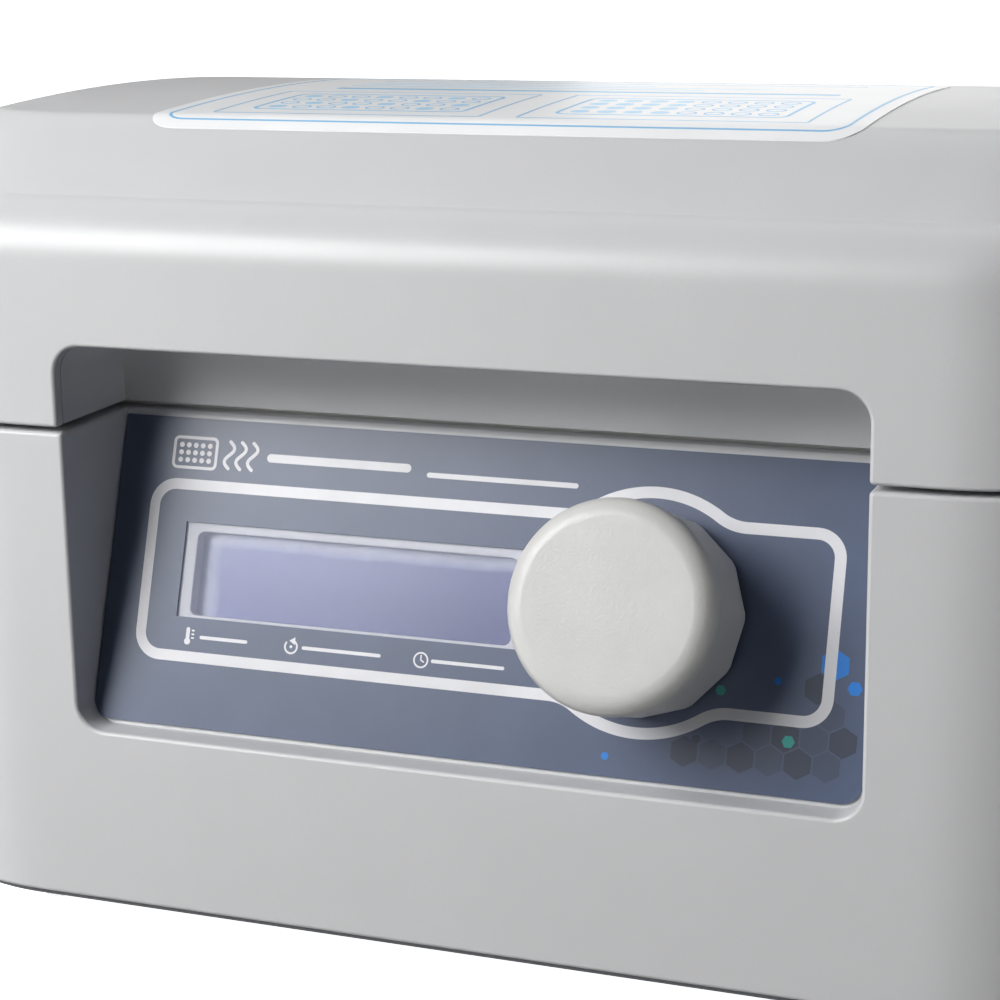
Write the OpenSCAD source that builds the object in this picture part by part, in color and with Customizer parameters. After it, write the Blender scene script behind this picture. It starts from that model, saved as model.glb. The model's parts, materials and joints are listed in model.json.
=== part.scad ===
// Microplate incubator with a heated, orbiting two-plate platform under a hinged lid.
// +Z is up, -Y is the front (control panel side), millimetres.
// Inside the modules y runs from 0 at the front face to body_d at the rear face.

/* [Body] */
// Width of the housing over its side walls
body_w = 236; // [230:1:250]
// Depth of the housing without hinges and knob
body_d = 186; // [186:1:192]
// Plan radius of the four vertical corners
corner_r = 37; // [30:1:37]
// Wall of the base housing
wall = 2.8; // [2.2:0.1:3]
// Height of the rubber feet under the bottom plate
foot_h = 7; // [5:1:8]

/* [Lid] */
// Wall of the lid cover
lid_wall = 2.2; // [1.8:0.1:2.4]
// Highest point of the crowned lid above the floor
lid_top = 147.9; // [146:0.1:149]
// Depth of the finger recess in the lid
recess_d = 24.2; // [20:0.1:24.4]
// Height of the finger recess above the lid edge
recess_h = 14.4; // [12:0.1:16]

/* [Panel] */
// Backward lean of the control panel from vertical
tilt = 19.06; // [18.5:0.02:19.5]
// Position of the knob axis across the panel
knob_x = 31.2; // [30:0.1:34]
// Distance of the knob axis below the panel's top edge
knob_t = 27.6; // [26:0.1:29]
// Radius of the knob over its lobes
knob_r = 17.5; // [16:0.1:18]

/* [Motion] */
// Orbit radius of the platform
orbit = 1.5; // [1:0.1:1.8]
// Radial running clearance of shafts and pins
run = 0.03; // [0.02:0.01:0.06]

/* [Hidden] */
$fn = 64;

hw = body_w / 2;
// lower edge of the lid and upper edge of the base
z_split = 95;
z_base = 94.05;
z_low = foot_h + 1;
// hinge axis behind the rear wall
hinge_y = body_d + 5.2;
hinge_z = 94.5;
hinge_r = 4.2;
hinge_x = 62;
// panel plane: top edge of the film
panel_y = 23.0;
panel_z = 93.1;
panel_len = 55.2;
// orbit centre
cx_y = 102;
// middle of the whole depth, knob tip to hinge barrels
knob_tip = 12.05;
y_mid = (hinge_y + hinge_r - knob_tip) / 2;
idlers = [[-70, 56], [70, 56], [0, 160]];
base_screw_at = [[-hw + 7.2, 55], [hw - 7.2, 55], [-hw + 7.2, 130], [hw - 7.2, 130], [-80, 7], [80, 7], [0, body_d - 7.4]];
lid_screw_at = [[-hw + 10.5, 52], [hw - 10.5, 52], [-hw + 10.5, 138], [hw - 10.5, 138], [-92, 13], [92, 13], [-40, body_d - 6], [40, body_d - 6]];
spacer_at = [[-72, 74], [72, 74], [-52, 162], [52, 162]];
board_at = [[-62, 62], [-34, 62], [-62, 146], [-34, 146], [34, 62], [62, 62], [34, 146], [62, 146]];
inlet_x = 72;
inlet_z = 40;
switch_x = 34;

module place() { translate([0, -y_mid, 0]) children(); }

// exact rounded rectangle from its corners
module rr(x0, y0, x1, y1, r) {
  translate([x0 + r, y0]) square([x1 - x0 - 2 * r, y1 - y0]);
  translate([x0, y0 + r]) square([x1 - x0, y1 - y0 - 2 * r]);
  for (x = [x0 + r, x1 - r], y = [y0 + r, y1 - r]) translate([x, y]) circle(r = r);
}
module slab(x0, y0, x1, y1, z0, z1, r) {
  translate([0, 0, z0]) linear_extrude(height = z1 - z0) rr(x0, y0, x1, y1, r);
}
module ring(x0, y0, x1, y1, z0, z1, r, t) {
  translate([0, 0, z0]) linear_extrude(height = z1 - z0) difference() {
    rr(x0, y0, x1, y1, r);
    rr(x0 + t, y0 + t, x1 - t, y1 - t, r - t);
  }
}
module rod(x, y, z0, z1, r) { translate([x, y, z0]) cylinder(h = z1 - z0, r = r); }
// profile drawn as (y, z), extruded along X
module along_x(x0, x1) { translate([x0, 0, 0]) rotate([90, 0, 90]) linear_extrude(height = x1 - x0) children(); }
// profile drawn as (x, z), extruded along +Y
module along_y(y0, y1) { translate([0, y1, 0]) rotate([90, 0, 0]) linear_extrude(height = y1 - y0) children(); }
// local x across, local y up the slope, local z out of the panel
module on_panel() { translate([0, panel_y, panel_z]) rotate([90 - tilt, 0, 0]) children(); }
module on_knob() { on_panel() translate([knob_x, -knob_t, 0]) children(); }

function pan_y(t, u) = panel_y - t * sin(tilt) - u * cos(tilt);
function pan_z(t, u) = panel_z - t * cos(tilt) + u * sin(tilt);

// ---- base ----
module base_pocket() {
  intersection() {
    along_x(-120, 120) polygon([[-3, 40.0], [0, 40.1], [pan_y(55.5, -0.5), pan_z(55.5, -0.5)],
      [pan_y(-1.2, -0.5), pan_z(-1.2, -0.5)], [pan_y(-3, -0.5), pan_z(-3, -0.5)], [-3, 96]]);
    along_y(-3, 40) rr(-70.2, 40.0, 71, 120, 5);
  }
}
module base_pocket_block() {
  intersection() {
    along_x(-120, 120) polygon([[0.5, 37.2], [7.0, 37.2], [pan_y(55.5, -3.2), pan_z(55.5, -3.2)],
      [pan_y(0, -3.2), pan_z(0, -3.2)], [pan_y(0, -3.2) + 0.35, z_base], [0.5, z_base]]);
    along_y(0.4, 40) rr(-72.8, 37.2, 73.6, 120, 7.6);
  }
}
module base_housing() {
  place() color("gainsboro") {
    difference() {
      union() {
        difference() {
          slab(-hw, 0, hw, body_d, z_low, z_base, corner_r);
          slab(-hw + wall, wall, hw - wall, body_d - wall, z_low - 1, z_base - 2.65, corner_r - wall);
        }
        base_pocket_block();
        for (p = base_screw_at) rod(p[0], p[1], z_low, z_low + 30, 5);
        for (s = [-60.8, 14.2], t = [11.7, 42.7]) on_panel() translate([s, -t, -7.6]) cylinder(h = 5, r = 2.8);
      }
      base_pocket();
      for (p = base_screw_at) rod(p[0], p[1], z_low - 1, z_low + 16, 1.5);
      for (s = [-60.8, 14.2], t = [11.7, 42.7]) on_panel() translate([s, -t, -8]) cylinder(h = 5.4, r = 1);
      // display cut-out and encoder hole
      on_panel() translate([0, 0, -4]) linear_extrude(height = 5) rr(-53.2, -35.2, 7.6, -20.3, 1.2);
      on_knob() translate([0, 0, -5]) cylinder(h = 6, r = 3.6);
      // chamber opening with the rebate for the liner's flange
      slab(-99.6, 30, 99.6, 174, z_base - 5, z_base + 1, 9.6);
      slab(-105, 27.6, 105, 178.4, z_base - 1.5, z_base + 1, 14);
      // rear wall: inlet, switch, hinge screws, vents
      translate([inlet_x - 13.6, body_d - 5, inlet_z - 16.1]) cube([27.2, 8, 32.2]);
      translate([switch_x - 6.6, body_d - 5, inlet_z - 9.6]) cube([13.2, 8, 19.2]);
      for (x = [-hinge_x, hinge_x], dx = [-9, 9]) translate([x + dx, body_d - 4, 81]) rotate([-90, 0, 0]) cylinder(h = 6, r = 1.5);
      for (i = [0:8]) translate([-92 + i * 7, body_d - 5, 26]) cube([3, 8, 28]);
    }
  }
}
module bottom_plate() {
  place() color("dimgray") difference() {
    slab(-hw + 1.2, 1.2, hw - 1.2, body_d - 1.2, foot_h, z_low, corner_r - 1.2);
    for (p = base_screw_at) rod(p[0], p[1], 0, 10, 1.6);
    for (p = spacer_at) rod(p[0], p[1], 0, 10, 1.6);
    for (i = [0:7]) translate([-28 + i * 7, 84, 0]) cube([3, 36, 20]);
  }
}
module feet() {
  place() color("black") for (x = [-90, 90], y = [36, 150]) translate([x, y, 0]) difference() {
    rotate_extrude() polygon([[0, 0], [7.4, 0], [8.6, 1.2], [9.2, foot_h], [0, foot_h]]);
    translate([0, 0, -1]) cylinder(h = 3.2, r = 3);
  }
}
module bottom_screws() {
  place() color("silver") for (p = base_screw_at) {
    rod(p[0], p[1], foot_h - 1.8, foot_h, 3);
    rod(p[0], p[1], foot_h, z_low + 12, 1.5);
  }
}

// ---- control panel ----
module panel_overlay() {
  place() color("slategray") on_panel() translate([0, 0, -0.5]) difference() {
    linear_extrude(height = 0.5) difference() {
      union() {
        translate([-70, -panel_len + 3.5]) square([140, panel_len - 3.5]);
        translate([-66.5, -panel_len]) square([133, 10]);
        for (x = [-66.5, 66.5]) translate([x, -panel_len + 3.5]) circle(r = 3.5);
      }
      translate([-55.6, -35.7]) square([64.5, 17]);
    }
    translate([knob_x, -knob_t, -1]) cylinder(h = 2, r = 3.6);
  }
}
module display_window() {
  place() color("lightblue", 0.3) on_panel() translate([-55.6, -35.7, -0.45]) cube([64.5, 17, 0.35]);
}
module display_glass() {
  place() color("slateblue") on_panel() translate([-56.5, -38, -4.6]) cube([67, 21, 1.35]);
}
module display_module() {
  place() color("darkgreen") on_panel() difference() {
    union() {
      translate([-63.3, -45.2, -9.2]) cube([80, 36, 1.6]);
      translate([-58.3, -40, -7.6]) cube([70.5, 25.4, 4.3]);
    }
    translate([-56.6, -38.1, -4.65]) cube([67.2, 21.2, 3]);
    for (s = [-60.8, 14.2], t = [11.7, 42.7]) translate([s, -t, -10]) cylinder(h = 4, r = 1.3);
  }
}
module display_screws() {
  place() color("silver") on_panel() for (s = [-60.8, 14.2], t = [11.7, 42.7]) translate([s, -t, 0]) {
    translate([0, 0, -10.6]) cylinder(h = 1.4, r = 2);
    translate([0, 0, -9.2]) cylinder(h = 5.5, r = 1);
  }
}
module encoder_body() {
  place() color("dimgray") on_knob() difference() {
    union() {
      translate([-6.3, -6.7, -10.8]) cube([12.6, 13.4, 7.6]);
      translate([0, 0, -3.2]) cylinder(h = 6.8, r = 3.5);
    }
    translate([0, 0, -10.2]) cylinder(h = 2.8, r = 3.2);
    translate([0, 0, -8]) cylinder(h = 13, r = 3 + run);
  }
}
module encoder_nut() {
  place() color("silver") on_knob() {
    difference() { cylinder(h = 0.5, r = 6.2); translate([0, 0, -1]) cylinder(h = 3, r = 3.52); }
    translate([0, 0, 0.5]) difference() { cylinder(h = 2, r = 5.6, $fn = 6); translate([0, 0, -1]) cylinder(h = 4, r = 3.52); }
  }
}
module push_plunger() {
  place() color("white") on_knob() translate([0, 0, -9.2]) cylinder(h = 1, r = 3.1);
}
module encoder_shaft() {
  place() color("silver") on_knob() {
    translate([0, 0, -8.15]) cylinder(h = 12.7, r = 3);
    translate([0, 0, 4.55]) intersection() { cylinder(h = 11.2, r = 3); translate([-4, -4, 0]) cube([5.5, 8, 12]); }
  }
}
module knob_body() {
  place() color("whitesmoke") on_knob() {
    difference() {
      translate([0, 0, 1]) cylinder(h = 17.4, r = knob_r, $fn = 12);
      translate([0, 0, 0]) cylinder(h = 15.8, r = 14.4);
      translate([0, 0, 17.4]) cylinder(h = 2, r = 8.1);
    }
    difference() {
      translate([0, 0, 4.7]) cylinder(h = 11.3, r = 6);
      intersection() { translate([0, 0, 4]) cylinder(h = 11.8, r = 3.02); translate([-4, -4, 4]) cube([5.52, 8, 11.8]); }
    }
    for (a = [0:60:300]) rotate([0, 0, a]) translate([5.5, -0.6, 9]) cube([9.4, 1.2, 7]);
  }
}
module knob_cap() {
  place() color("white") on_knob() {
    rotate_extrude() {
      translate([0, 18.6]) square([14.1, 3.9]);
      translate([0, 18.6]) square([17.5, 0.5]);
      translate([0, 18.4]) square([16.6, 0.4]);
      intersection() { translate([14.1, 19.1]) circle(r = 3.4); translate([10, 19.1]) square([10, 5]); }
    }
    translate([0, 0, 17.4]) cylinder(h = 1.1, r = 8);
  }
}

// ---- electronics ----
module control_board() {
  place() color("green") {
    difference() {
      translate([-66, 58, 14]) cube([36, 92, 1.6]);
      for (p = [[-62, 62], [-34, 62], [-62, 146], [-34, 146]]) rod(p[0], p[1], 10, 20, 1.5);
    }
    translate([-56, 76, 15.6]) cube([14, 14, 2]);
    translate([-60, 100, 15.6]) cube([24, 10, 12]);
    for (y = [118, 128]) rod(-54, y, 15.6, 27, 4);
    translate([-46, 116, 15.6]) cube([12, 16, 9]);
    translate([-62, 69, 15.6]) cube([5, 24, 6]);
  }
}
module power_board() {
  place() color("darkgreen") {
    difference() {
      translate([30, 58, 14]) cube([36, 92, 1.6]);
      for (p = [[34, 62], [62, 62], [34, 146], [62, 146]]) rod(p[0], p[1], 10, 20, 1.5);
    }
    translate([36, 72, 15.6]) cube([24, 22, 20]);
    rod(40, 106, 15.6, 40, 6);
    rod(56, 106, 15.6, 32, 5);
    translate([36, 118, 15.6]) cube([2, 20, 22]);
    translate([46, 120, 15.6]) cube([16, 12, 14]);
  }
}
module board_spacers() {
  place() color("gold") for (p = board_at) difference() {
    rod(p[0], p[1], z_low, 14, 2.8);
    rod(p[0], p[1], z_low + 1, 15, 1.3);
  }
}
module board_screws() {
  place() color("silver") for (p = board_at) {
    rod(p[0], p[1], 15.6, 17.2, 2.5);
    rod(p[0], p[1], 9.5, 15.6, 1.3);
  }
}
module power_inlet() {
  place() color("black") translate([inlet_x, body_d, inlet_z]) difference() {
    union() {
      translate([-16, 0, -18]) cube([32, 2.4, 36]);
      translate([-13.5, -26, -16]) cube([27, 26, 32]);
    }
    along_y(-14, 3) polygon([[-11.6, -3.4], [11.6, -3.4], [11.6, 7.2], [7.6, 12.2], [-7.6, 12.2], [-11.6, 7.2]]);
    translate([-9.6, -24, -13.4]) cube([19.2, 27, 7]);
  }
}
module inlet_pins() {
  place() color("silver") translate([inlet_x, body_d, inlet_z]) {
    for (x = [-7, 7]) translate([x - 1, -31, 1]) cube([2, 27, 4]);
    translate([-1, -31, 5]) cube([2, 27.6, 4]);
  }
}
module fuse_drawer() {
  place() color("dimgray") translate([inlet_x, body_d, inlet_z]) difference() {
    union() {
      translate([-10.6, 2.4, -14.2]) cube([21.2, 1.6, 8.6]);
      translate([-9.5, -23.6, -13.3]) cube([19, 26, 6.8]);
    }
    translate([-8, -22.2, -12]) cube([16, 21.4, 8]);
    translate([-6, 3.2, -12.4]) cube([12, 2, 1.6]);
  }
}
module switch_frame() {
  place() color("black") translate([switch_x, body_d, inlet_z]) difference() {
    union() {
      translate([-7.8, 0, -11]) cube([15.6, 2, 22]);
      translate([-6.5, -14, -9.5]) cube([13, 14, 19]);
    }
    translate([-5.4, -7, -9.1 + 0.2]) cube([10.8, 10, 17.8]);
    translate([-6.1, -1, 0]) rotate([0, 90, 0]) cylinder(h = 12.2, r = 1.25);
  }
}
module switch_rocker() {
  place() color("firebrick") translate([switch_x, body_d - 1, inlet_z]) rotate([-8, 0, 0]) {
    along_x(-5.2, 5.2) polygon([[-3, -5.6], [-3, 5.6], [2.4, 7.8], [4, 7.8], [2.7, 0], [4, -7.8], [2.4, -7.8]]);
    translate([-6, 0, 0]) rotate([0, 90, 0]) cylinder(h = 12, r = 1.2);
  }
}

// ---- chamber and drive ----
module chamber_liner() {
  place() color("lightgray") difference() {
    union() {
      slab(-104.8, 27.8, 104.8, 178.2, z_base - 1.5, z_base, 13.8);
      slab(-99.3, 30.3, 99.3, 173.7, 78.5, z_base - 1.4, 9.3);
    }
    slab(-97.8, 31.8, 97.8, 172.2, 80, z_base + 1, 7.8);
    rod(0, cx_y, 70, 90, 13 + orbit + 1.4);
    for (p = idlers) rod(p[0], p[1], 70, 90, 8.5 + orbit + 1.2);
  }
}
module mechanism_plate() {
  place() color("silver") difference() {
    slab(-84, 46, 84, 172, 62, 64, 8);
    rod(0, cx_y, 60, 66, 9);
    for (p = idlers) rod(p[0], p[1], 60, 66, 5.5);
    for (p = spacer_at) rod(p[0], p[1], 60, 66, 1.6);
    for (a = [45:90:315]) rod(18 * cos(a), cx_y + 18 * sin(a), 60, 66, 2);
  }
}
module plate_spacers() {
  place() color("silver") for (p = spacer_at) difference() {
    rod(p[0], p[1], z_low, 62, 4);
    rod(p[0], p[1], z_low - 1, z_low + 10, 1.5);
    rod(p[0], p[1], 52, 63, 1.5);
  }
}
module spacer_screws() {
  place() color("gray") for (p = spacer_at) {
    rod(p[0], p[1], foot_h - 1.8, foot_h, 3);
    rod(p[0], p[1], foot_h, z_low + 8, 1.5);
    rod(p[0], p[1], 64, 65.8, 3);
    rod(p[0], p[1], 54, 64, 1.5);
  }
}
module motor_body() {
  place() color("darkgray") difference() {
    union() {
      rod(0, cx_y, 30, 62, 26);
      rod(0, cx_y, 62, 65, 8.9);
      translate([-9, cx_y - 34, 34]) cube([18, 10, 12]);
    }
    rod(0, cx_y, 34, 66, 3 + run);
    for (a = [45:90:315]) rod(18 * cos(a), cx_y + 18 * sin(a), 54, 63, 1.9);
  }
}
module motor_screws() {
  place() color("gray") for (a = [45:90:315]) {
    rod(18 * cos(a), cx_y + 18 * sin(a), 64, 65.4, 3.4);
    rod(18 * cos(a), cx_y + 18 * sin(a), 56, 64, 1.9);
  }
}
module motor_shaft() { place() color("silver") rod(0, cx_y, 34.3, 74, 3); }
module eccentric_hub() {
  place() color("goldenrod") {
    difference() {
      rod(0, cx_y, 66, 74.5, 11);
      rod(0, cx_y, 65, 74, 3);
      translate([0, cx_y, 70]) rotate([0, 90, 0]) cylinder(h = 13, r = 2);
    }
    rod(orbit, cx_y, 74.5, 82.2, 4 - run);
  }
}
module hub_screw() {
  place() color("black") translate([3, cx_y, 70]) rotate([0, 90, 0]) cylinder(h = 7.4, r = 2);
}
module counterweight() {
  place() color("peru") intersection() {
    difference() { rod(0, cx_y, 66.2, 71, 27); rod(0, cx_y, 60, 80, 11); }
    translate([-40, cx_y - 40, 60]) cube([38, 80, 20]);
  }
}
module idler_housings() {
  place() color("darkgray") for (p = idlers) difference() {
    union() { rod(p[0], p[1], 64, 72.2, 10.2); rod(p[0], p[1], 64, 66, 13); }
    rod(p[0], p[1], 63, 80, 5.5);
    rod(p[0], p[1], 67, 80, 8);
  }
}
module idler_bearings() {
  place() color("silver") for (p = idlers) difference() {
    rod(p[0], p[1], 67, 72, 8);
    rod(p[0], p[1], 60, 80, 4);
  }
}
module idler_crank(p) {
  place() color("goldenrod") {
    rod(p[0], p[1], 64.6, 72.6, 4 - run);
    rod(p[0], p[1], 72.6, 75, 7.4);
    rod(p[0] + orbit, p[1], 75, 81.6, 3 - run);
  }
}
module idler_crank_left() { idler_crank(idlers[0]); }
module idler_crank_right() { idler_crank(idlers[1]); }
module idler_crank_rear() { idler_crank(idlers[2]); }

module shaker_platform() {
  place() color("silver") translate([orbit, 0, 0]) difference() {
    union() {
      slab(-94, 34.6, 94, 169.4, 84, 86, 6);
      rod(0, cx_y, 75.3, 84.5, 13);
      for (p = idlers) rod(p[0], p[1], 75.8, 84.5, 8.5);
    }
    rod(0, cx_y, 70, 81, 8);
    rod(0, cx_y, 70, 83, 5.6);
    for (p = idlers) { rod(p[0], p[1], 70, 80.4, 6); rod(p[0], p[1], 70, 82.6, 4.4); }
  }
}
module nest_frame() {
  place() color("lightsteelblue") translate([orbit, 0, 0]) difference() {
    slab(-94, 34.6, 94, 169.4, 86, 90, 6);
    slab(-89.1, 37.8, -3, 166.2, 85, 91, 3);
    slab(3, 37.8, 89.1, 166.2, 85, 91, 3);
    // finger notches at the front edge of each nest
    for (x = [-46, 46]) translate([x - 12, 30, 87.2]) cube([24, 8, 5]);
  }
}
module platform_bearings() {
  place() color("gray") translate([orbit, 0, 0]) {
    difference() { rod(0, cx_y, 76, 81, 8); rod(0, cx_y, 70, 90, 4); }
    for (p = idlers) difference() { rod(p[0], p[1], 76.4, 80.4, 6); rod(p[0], p[1], 70, 90, 3); }
  }
}
module heating_pad() {
  place() color("orangered") translate([orbit, 0, 0]) difference() {
    slab(-90, 38, 90, 166, 83, 84, 5);
    rod(0, cx_y, 80, 90, 13.2);
    for (p = idlers) rod(p[0], p[1], 80, 90, 8.7);
  }
}
module temperature_probe() {
  place() color("silver") translate([36 + orbit, 84, 81.8]) rotate([-90, 0, 0]) cylinder(h = 22, r = 1.2);
}
module plate_clips() {
  place() color("silver") translate([orbit, 0, 0]) for (m = [0, 1], y = [64, 130]) mirror([m, 0, 0])
    along_y(y, y + 12) polygon([[89.3, 90], [93.4, 90], [93.4, 90.4], [89.9, 90.4], [87.9, 93.8], [87.4, 93.6], [89.3, 90.2]]);
}

// ---- lid ----
// crown height along the depth: a shallow arch, straight towards the hinges
function crown(y) = let (e = y - 70) lid_top - (abs(e) < 54 ? 0.0007 * e * e : 0.0007 * 54 * (2 * abs(e) - 54));
// rise from the crease to the crown over a distance s
function rise(s) = s <= 0 ? 0 : s < 11 ? 0.061 * s : s < 21.8 ? 0.671 + 0.061 * (s - 11) - 0.061 * (s - 11) * (s - 11) / 21.6 : 1;
side_k = 0.55;
// one closed ring: fi is the inset from the front and rear, si from the sides
function ring_xy(fi, si) = let (rx = max(corner_r - si, 8), ry = max(corner_r - fi, 5),
    cx = hw - si - rx, cy0 = fi + ry, cy1 = body_d - fi - ry) concat(
    [for (i = [0:8]) let (a = 270 + i * 11.25) [cx + rx * cos(a), cy0 + ry * sin(a)]],
    [for (i = [1:9]) [hw - si, cy0 + (cy1 - cy0) * i / 10]],
    [for (i = [0:8]) let (a = i * 11.25) [cx + rx * cos(a), cy1 + ry * sin(a)]],
    [for (i = [0:8]) let (a = 90 + i * 11.25) [-cx + rx * cos(a), cy1 + ry * sin(a)]],
    [for (i = [1:9]) [-hw + si, cy1 + (cy0 - cy1) * i / 10]],
    [for (i = [0:8]) let (a = 180 + i * 11.25) [-cx + rx * cos(a), cy0 + ry * sin(a)]]);
// rings of the lid skin, moved inwards by t
function skin_rings(t) = concat(
  [[t, t, z_split - (t > 0 ? 1 : 0), 0], [t, t, 124 - t * 0.4, 0]],
  [for (i = [1:8]) let (a = i * 11.25) [t + (10 - t) * (1 - cos(a)), t + (10 - t) * side_k * (1 - cos(a)), 124 - t * 0.4 + (10 - t * 0.6) * sin(a), 0]],
  [for (s = [3, 6, 9, 11, 13, 15.5, 18, 21.8]) [10 + s, t * (1 - side_k) + 10 * side_k + s * side_k, 134 - t, rise(s)]],
  [for (f = [0.25, 0.5, 0.75, 0.98]) [31.8 + (body_d / 2 - 31.8) * f, 18 + 70 * f, 134 - t, 1]]);
module lid_skin(t) {
  rings = skin_rings(t);
  n = len(ring_xy(0, 0));
  m = len(rings);
  pts = [for (r = rings) let (xy = ring_xy(r[0], r[1])) for (p = xy)
    [p[0], p[1], r[2] + r[3] * (crown(p[1]) - 134)]];
  polyhedron(points = pts, convexity = 6, faces = concat(
    [[for (i = [0:n - 1]) i]],
    [for (j = [0:m - 2], i = [0:n - 1]) let (a = j * n + i, b = j * n + (i + 1) % n) [a, a + n, b]],
    [for (j = [0:m - 2], i = [0:n - 1]) let (a = j * n + i, b = j * n + (i + 1) % n) [b, a + n, b + n]],
    [[for (i = [n - 1:-1:0]) (m - 1) * n + i]]));
}
module lid_pocket(y0) {
  along_y(y0, recess_d) rr(-71, 60, 71, z_split + recess_h, 5);
}
module lid_cover() {
  place() color("gainsboro") difference() {
    union() {
      difference() { lid_skin(0); lid_skin(lid_wall); }
      intersection() {
        lid_skin(0);
        for (p = lid_screw_at) {
          rod(p[0], p[1], 97.8, 122, 4.4);
          if (abs(p[0]) < 95) translate([p[0] - 1, p[1] < 30 ? 1 : p[1] - 1, 97.8]) cube([2, p[1] < 30 ? 12 : 6.6, 24]);
        }
      }
      intersection() {
        lid_skin(0);
        for (x = [-1, 1], y = [52, 138]) translate([x > 0 ? hw - 8 : -hw + 0.4, y - 1, 97.8]) cube([7.6, 2, 24]);
      }
    }
    lid_pocket(-1);
    for (p = lid_screw_at) rod(p[0], p[1], 97, 110, 1.4);
    for (x = [-hinge_x, hinge_x], dx = [-9, 9]) translate([x + dx, body_d - 4, 107]) rotate([-90, 0, 0]) cylinder(h = 6, r = 1.5);
  }
}
module lid_liner() {
  place() color("lightgray") difference() {
    union() {
      slab(-hw + 2.4, 2.4, hw - 2.4, body_d - 2.4, 95.3, 97.7, corner_r - 2.4);
      slab(-99.8, 29.8, 99.8, 174.2, 95.3, 128.5, 9.8);
    }
    translate([-150, -10, 50]) cube([300, 220, 45.3]);
    slab(-97.8, 31.8, 97.8, 172.2, 90, 126.5, 7.8);
    // room for the grip pocket
    translate([-73.4, -1, 90]) cube([146.8, 27.6, 20]);
    ring(-102.9, 27.0, 102.9, 177.0, 94, 96.5, 12.9, 2.6);
    for (p = lid_screw_at) { rod(p[0], p[1], 90, 100, 1.6); rod(p[0], p[1], 90, 96.6, 3); }
    rod(88, 24.4, 97.2, 99, 4.05);
  }
}
module grip_pocket() {
  place() color("lightgray") difference() {
    along_y(2.4, 26.6) rr(-73.4, 60, 73.4, z_split + recess_h + 2.4, 7.4);
    translate([-150, -10, 50]) cube([300, 220, 45.3]);
    lid_pocket(-1);
  }
}
module lid_insulation() {
  place() color("khaki") slab(-97, 33, 97, 158, 128.5, 138, 8);
}
module lid_heater_plate() {
  place() color("silver") difference() {
    slab(-97, 32.6, 97, 171.4, 125, 126.5, 7);
    for (x = [-84, 84], y = [44, 160]) rod(x, y, 120, 130, 2);
  }
}
module lid_seal() {
  place() color("white") ring(-102.8, 27.1, 102.8, 176.9, 94.1, 96.5, 12.8, 2.4);
}
module lid_screws() {
  place() color("silver") for (p = lid_screw_at) {
    rod(p[0], p[1], 95.2, 96.6, 2.8);
    rod(p[0], p[1], 96.6, 108, 1.4);
  }
}
lab_y = [25, 25.5, 28, 31.8, 39, 47.1, 55, 62.4, 70, 77.7, 85, 91.8, 101, 110];
function lab_z(y) = 134 + rise(y - 10) * (crown(y) - 134);
module lid_label() {
  place() color("white") along_x(-65.5, 63) polygon(concat(
    [for (y = lab_y) [y, lab_z(y) + 0.02]],
    [for (i = [len(lab_y) - 1:-1:0]) [lab_y[i], lab_z(lab_y[i]) + 0.24]]));
}
module lid_magnet() { place() color("gray") rod(88, 24.4, 97.2, 100.2, 4); }
module lid_sensor() {
  place() color("black") {
    translate([82, 20, 84.4]) cube([12, 6, 7]);
    translate([84, 22, 82.4]) cube([8, 2, 2.2]);
  }
}

// ---- hinges ----
module barrel(x0, x1, bore) {
  translate([x0, hinge_y, hinge_z]) rotate([0, 90, 0]) difference() {
    cylinder(h = x1 - x0, r = hinge_r);
    translate([0, 0, -1]) cylinder(h = x1 - x0 + 2, r = bore);
  }
}
module base_hinge_brackets() {
  place() color("lightgray") for (x = [-hinge_x, hinge_x]) {
    difference() {
      union() {
        translate([x - 15, body_d, 75]) cube([30, 2.4, 14.7]);
        translate([x - 6, body_d, 86]) cube([12, 5.2, hinge_z - 86]);
      }
      translate([x - 20, hinge_y, hinge_z]) rotate([0, 90, 0]) cylinder(h = 40, r = hinge_r - 0.6);
      for (dx = [-9, 9]) translate([x + dx, body_d - 1, 81]) rotate([-90, 0, 0]) cylinder(h = 6, r = 1.5);
    }
    barrel(x - 6, x + 6, 2 + run);
  }
}
module base_hinge_screws() {
  place() color("gray") for (x = [-hinge_x, hinge_x], dx = [-9, 9]) translate([x + dx, 0, 81]) {
    translate([0, body_d - 5, 0]) rotate([-90, 0, 0]) cylinder(h = 7.4, r = 1.5);
    translate([0, body_d + 2.4, 0]) rotate([-90, 0, 0]) cylinder(h = 1.5, r = 2.7);
  }
}
module lid_hinge_brackets() {
  place() color("lightgray") for (x = [-hinge_x, hinge_x]) {
    difference() {
      union() {
        translate([x - 15, body_d, 99.4]) cube([30, 2.4, 15]);
        for (d = [-14, 6.2]) translate([x + d, body_d, hinge_z + 0.7]) cube([7.8, 5.2, 6]);
      }
      translate([x - 20, hinge_y, hinge_z]) rotate([0, 90, 0]) cylinder(h = 40, r = hinge_r - 0.6);
      for (dx = [-9, 9]) translate([x + dx, body_d - 1, 107]) rotate([-90, 0, 0]) cylinder(h = 6, r = 1.5);
    }
    barrel(x - 14, x - 6.2, 2);
    barrel(x + 6.2, x + 14, 2);
  }
}
module lid_hinge_screws() {
  place() color("gray") for (x = [-hinge_x, hinge_x], dx = [-9, 9]) translate([x + dx, 0, 107]) {
    translate([0, body_d - 4, 0]) rotate([-90, 0, 0]) cylinder(h = 6.4, r = 1.5);
    translate([0, body_d + 2.4, 0]) rotate([-90, 0, 0]) cylinder(h = 1.5, r = 2.7);
  }
}
module hinge_pins() {
  place() color("silver") for (x = [-hinge_x, hinge_x]) translate([x - 14.5, hinge_y, hinge_z]) rotate([0, 90, 0]) cylinder(h = 29, r = 2);
}

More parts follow.
